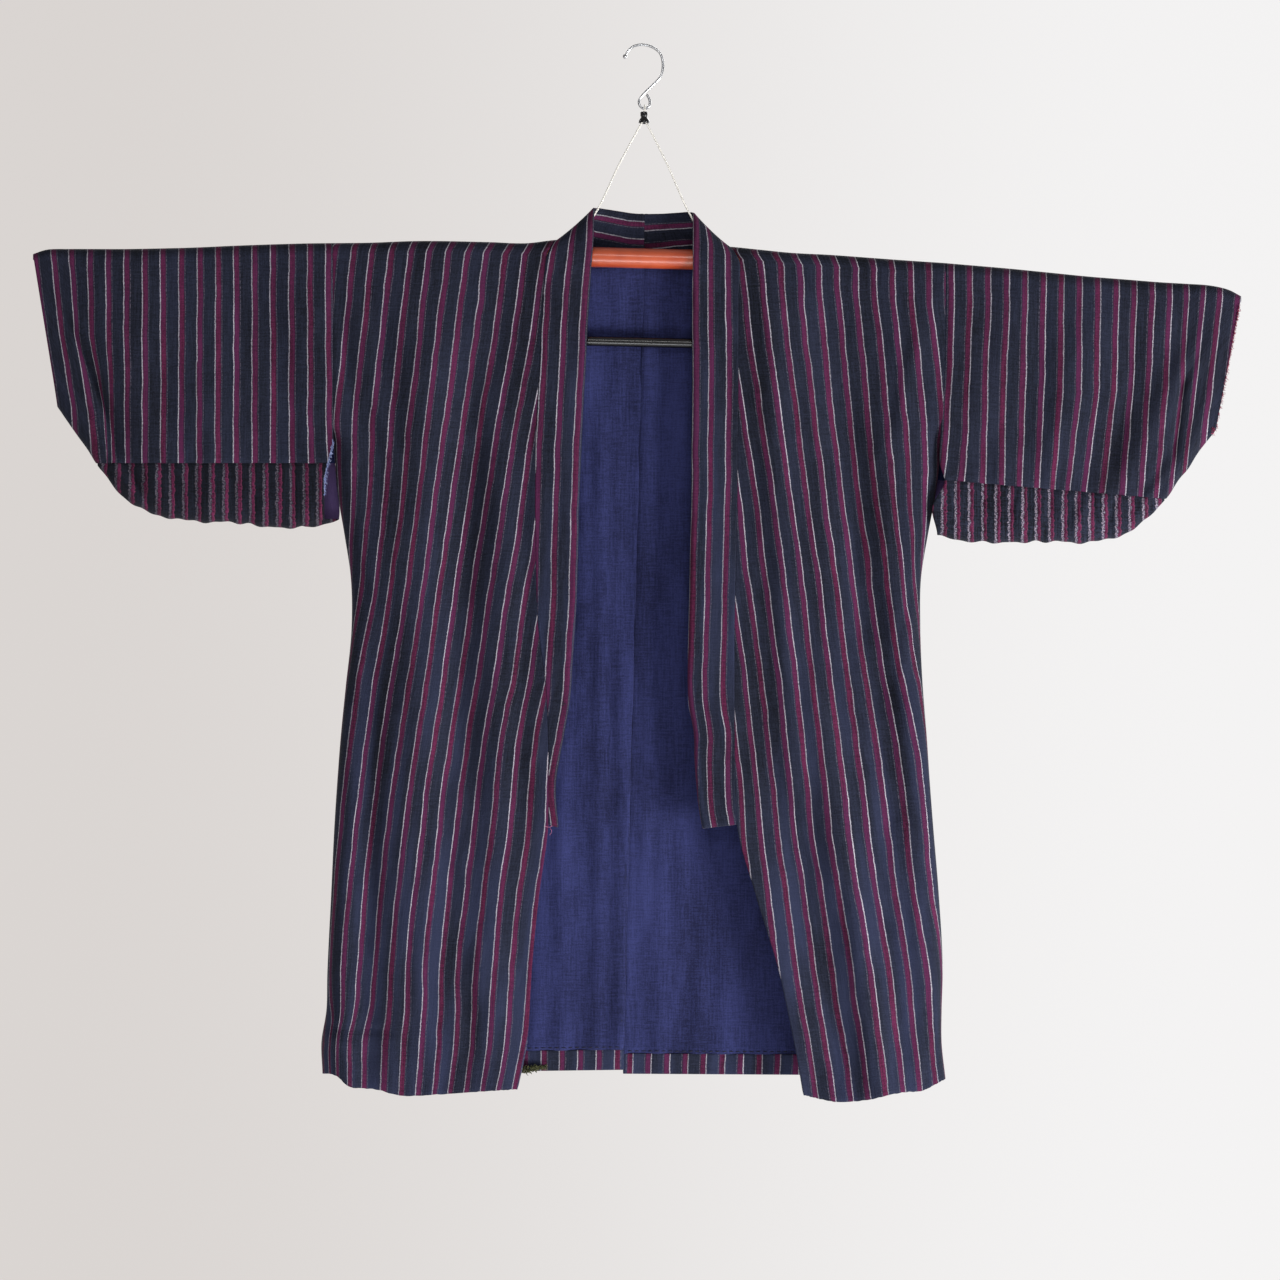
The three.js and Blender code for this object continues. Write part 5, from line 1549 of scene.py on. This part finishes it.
def running_stitches(name, line, stitch, gap):
    """Short stitches along a line of points, each arched a little over the cloth."""
    run = np.concatenate([[0], np.cumsum(np.linalg.norm(np.diff(line, axis=0), axis=1))])
    starts = np.arange(gap, run[-1] - stitch, stitch + gap)
    at = starts[:, None] + stitch * np.linspace(0, 1, 5)[None, :]
    routes = np.stack([np.interp(at, run, line[:, k]) for k in range(3)], -1)
    routes[..., 1] -= STITCH_LIFT * np.sin(math.pi * np.linspace(0.08, 0.92, 5))[None, :]
    stitches = tubes(name, from_plane(routes), STITCH_RADIUS, 5)
    return settle(stitches, THREAD["indigo"])


print("thread colours:", list(THREAD))

# %% [markdown]
# ## Stitches on the lining
# Running stitches hold the lining's centre seam, seen in its lower part, and its lower edge above the
# turned-up hem. They follow the lining's own grid, so they lie on the cloth wherever it ripples.
# %% Stitches on the lining
SEAM_ALLOWANCE = 3.2
STITCHED_FROM = -700
EDGE_INSET = 2.6
for side in SIDES:
    grid = LINING_GRIDS[side]
    face = grid - [0, LINING_WALL / 2, 0]
    inset = face[:, -1] + [outward(side) * SEAM_ALLOWANCE, 0, 0]
    low = inset[inset[:, 2] < STITCHED_FROM]
    if side == "right":
        running_stitches("stitches_lining_centre", low, 4.2, 4)
    edge = face[-1] + [0, 0, EDGE_INSET]
    running_stitches(f"stitches_lining_edge_{side}", edge, 3.6, 3.4)

# %% [markdown]
# ## Loose threads
# Where the cloth has worn, warp threads hang out: red ones at one cuff, pale blue ones along the slit
# under the other sleeve, an olive wad at the back hem, a knot and a long end at one collar tip. Their
# places are drawn at random from a fixed seed, so they are the same each time.
# %% Loose threads
rng = np.random.default_rng(7)


def cuff_line(z_top, z_low, count):
    """Random places down the left sleeve's front cuff edge."""
    rows = SLEEVE["left"]
    z = rng.uniform(z_low, z_top, count)
    share = (z - rows["top_z"][0]) / (rows["foot_z"][0] - rows["top_z"][0])
    x = mix(rows["top_x"][0], rows["foot_x"][0], share) + 0.5
    return from_plane(np.stack([x, -8.2 - rng.uniform(0, 1, count), z], -1))


cuff = np.concatenate([cuff_line(-266, -345, 190), cuff_line(-345, -394, 60)])
cuff_threads = loose_threads("frayed_threads_cuff", cuff, (0.35, -0.15, -0.55), 2.6, 0.7, "red", 21)
tuft_box = ((584, 590), (-8, 2), (-398, -392))
tuft_at = from_plane(np.stack([rng.uniform(low, high, 34) for low, high in tuft_box], -1))
tuft = loose_threads("frayed_tuft_cuff", tuft_at, (-0.1, -0.1, -0.75), 5.5, 1.4, "red", 22)
z = rng.uniform(-462, -404, 150)
slit_x = ARMHOLE_AT["right"] + SLIT_OPEN * slit_shape("right", z)
slit_at = front_face("right", slit_x + rng.uniform(-0.4, 0.6, 150), z, 0.1)
slit_threads = loose_threads("frayed_threads_slit", slit_at, (0.45, 0.05, -0.6), 3.4, 0.7, "blue", 23, 0.34)
wad_x = rng.uniform(-126, -100, 260)
wad_z = -1050.5 - rng.uniform(0, 1, 260) * (2 + 5.5 * ease((-100 - wad_x) / 26))
wad_at = from_plane(np.stack([wad_x, rng.uniform(3, 9, 260), wad_z], -1))
wad = loose_threads("frayed_wad_hem", wad_at, (0.5, -0.1, -0.12), 3.8, 1.1, "olive", 24, 0.5)
TACK_X, TACK_Z = 82.4, np.array([-679.3, -677.7, -675.9])
tack_at = front_face("right", np.full(3, TACK_X), TACK_Z, 1.3)
tack = loose_threads("tack_knot_collar", tack_at, (0.9, -0.05, 0.1), 6.5, 0.5, "indigo", 25, 0.55)
loose_at = front_face("right", np.array([93.0, 95.0]), np.array([-803.0, -806.0]), 0.3)
loose = loose_threads("loose_thread_collar", loose_at, (-0.4, -0.1, -0.7), 11, 2.4, "pink", 26)
threads = [cuff_threads, tuft, slit_threads, wad, tack, loose]
print("threads:", {p.name: len(p.data.polygons) for p in threads})

SHEETS = {
    "striped_body": ((0.31, 1.79), "hung", ["hanger_tube_lacquered", "hanger_arm_{side}_lacquered"]),
    "striped_sleeve": ((0.29, 0.56), "hung", ["hanger_arm_{side}_lacquered"]),
    "striped_patch": ((0.24, 0.15), "gathered", ["striped_sleeve_{side}"]),
    "striped_collar": ((0.0475, 0.75), "folded", ["striped_body_{side}"]),
    "indigo_lining": ((0.30, 0.82), "hung", ["striped_body_{side}"]),
    "striped_hem": ((0.28, 0.022), "folded", ["striped_body_{side}"]),
}


def surface_area(piece):
    """Area of a piece's faces in square metres."""
    areas = np.zeros(len(piece.data.polygons))
    piece.data.polygons.foreach_get("area", areas)
    return areas.sum()


for family in (BODY, SLEEVES, PATCHES, COLLARS, LININGS, TURN_UPS):
    for side, piece in family.items():
        cut, held, under = SHEETS[piece.name.removesuffix(f"_{side}")]
        share = surface_area(piece) / 2 / (cut[0] * cut[1])
        print(piece.name, "half of its surface, share of the cut:", round(share, 3))

# %% [markdown]
# ## Light and backdrop
# The jacket hangs in soft daylight that comes from the front right and leaves the left a little
# darker. Large square lights give such soft shadows. The pale planes glow, darker at the left and
# brighter at the right: painted light, as the daylight from the right would fall on them, so that
# the backdrop stays even behind the dark cloth.
# %% Stage
def plain(name, left, right, glow):
    """A plain pale stage material that glows a little, from a darker tone at the left to a brighter one
    at the right: painted light, brighter on the side the daylight comes from.
    """
    material = bpy.data.materials.new(name)
    material.use_nodes = True
    n = Nodes(material.node_tree)
    shader = material.node_tree.nodes["Principled BSDF"]
    x = n.split(n.add("ShaderNodeTexCoord").outputs["Object"])[0]
    # Painted light: the glow runs from the darker tone at the left to the brighter one at the right, the
    # side the daylight comes from.
    tone = n.blend(n.step(x, -1.5, 1.5), left, right)
    constant(shader, Base_Color=linear(60, 60, 60), Roughness=0.95, Specular_IOR_Level=0.0)
    constant(shader, Emission_Strength=glow)
    n.put(tone, shader.inputs["Emission Color"])
    return material


def stage_plane(name, centre, size, facing_viewer, material):
    """A flat stage plane, upright or level, in metres."""
    x, y, z = centre
    around = [(-size, -size), (size, -size), (size, size), (-size, size)]
    if facing_viewer:
        corners = [(x + across, y, z + up) for across, up in around]
    else:
        corners = [(x + across, y + back, z) for across, back in around]
    mesh = bpy.data.meshes.new(name)
    mesh.from_pydata(corners, [], [(0, 1, 2, 3)])
    mesh.materials.append(material)
    plane = bpy.data.objects.new(name, mesh)
    bpy.context.scene.collection.objects.link(plane)
    return plane


backdrop_look = plain("backdrop_pale", linear(214, 209, 206), linear(240, 239, 239), 1.0)
stage_plane("backdrop", (0, 4.4, 0), 7, True, backdrop_look)
floor_look = plain("floor_pale", linear(214, 210, 208), linear(236, 235, 235), 0.9)
stage_plane("floor", (0, 0, -2.25), 7, False, floor_look)


def soft_light(name, place, aim, size, power, colour):
    """A large square area light at a place, aimed at a point."""
    light = bpy.data.lights.new(name, "AREA")
    light.size, light.energy, light.color = size, power, colour
    lamp = bpy.data.objects.new(name, light)
    lamp.location = place
    direction = np.array(aim) - np.array(place)
    lamp.rotation_euler = Vector(direction).to_track_quat("-Z", "Y").to_euler()
    bpy.context.scene.collection.objects.link(lamp)
    return lamp


CENTRE = (0, 0, -0.6)
soft_light("key", (2.6, -1.6, -1.7), (0.1, 0, -0.9), 1.1, 126, (1.0, 0.99, 0.98))
soft_light("fill", (-0.2, -1.6, -2.1), (0, 0, -1.1), 0.9, 15, (0.93, 0.97, 1.0))
window = soft_light("window", (0.2, -3.0, 0.8), (0, 0, -0.25), 2.0, 15, (1.0, 0.99, 0.99))
window.data.shape, window.data.size_y = "RECTANGLE", 0.3
soft_light("behind", (0.5, 2.6, 0.8), CENTRE, 2.2, 60, (1.0, 1.0, 1.0))
world = bpy.data.worlds.new("studio")
bpy.context.scene.world = world
world.use_nodes = True
world.node_tree.nodes["Background"].inputs[0].default_value = linear(236, 233, 231)
world.node_tree.nodes["Background"].inputs[1].default_value = 0.32
bpy.context.scene.view_settings.view_transform = "Standard"

# %% [markdown]
# ## Camera
# The jacket was seen square on from about three metres. One pixel of the photograph is 1.03 mm in the
# hanger's plane, so the frame's width in metres and the distance give the lens, and the pixel of the
# hook's crook gives the camera's place.
# %% Camera
PIXEL = 1.03
FRAME_PIXELS = 1280
HOOK_PIXEL = (642.5, 46)
CAMERA_DISTANCE = EYE_DISTANCE * MM
SENSOR = 36.0
frame_width = FRAME_PIXELS * PIXEL * MM
camera_data = bpy.data.cameras.new("camera")
camera_data.sensor_width = SENSOR
camera_data.lens = SENSOR * CAMERA_DISTANCE / frame_width
camera = bpy.data.objects.new("camera", camera_data)
middle = FRAME_PIXELS / 2
sideways, upward = middle - HOOK_PIXEL[0], HOOK_PIXEL[1] - middle
camera.location = (sideways * PIXEL * MM, -CAMERA_DISTANCE, upward * PIXEL * MM)
camera.rotation_euler = (math.pi / 2, 0, 0)
bpy.context.scene.collection.objects.link(camera)
bpy.context.scene.camera = camera
print("lens, mm:", round(camera_data.lens, 2))
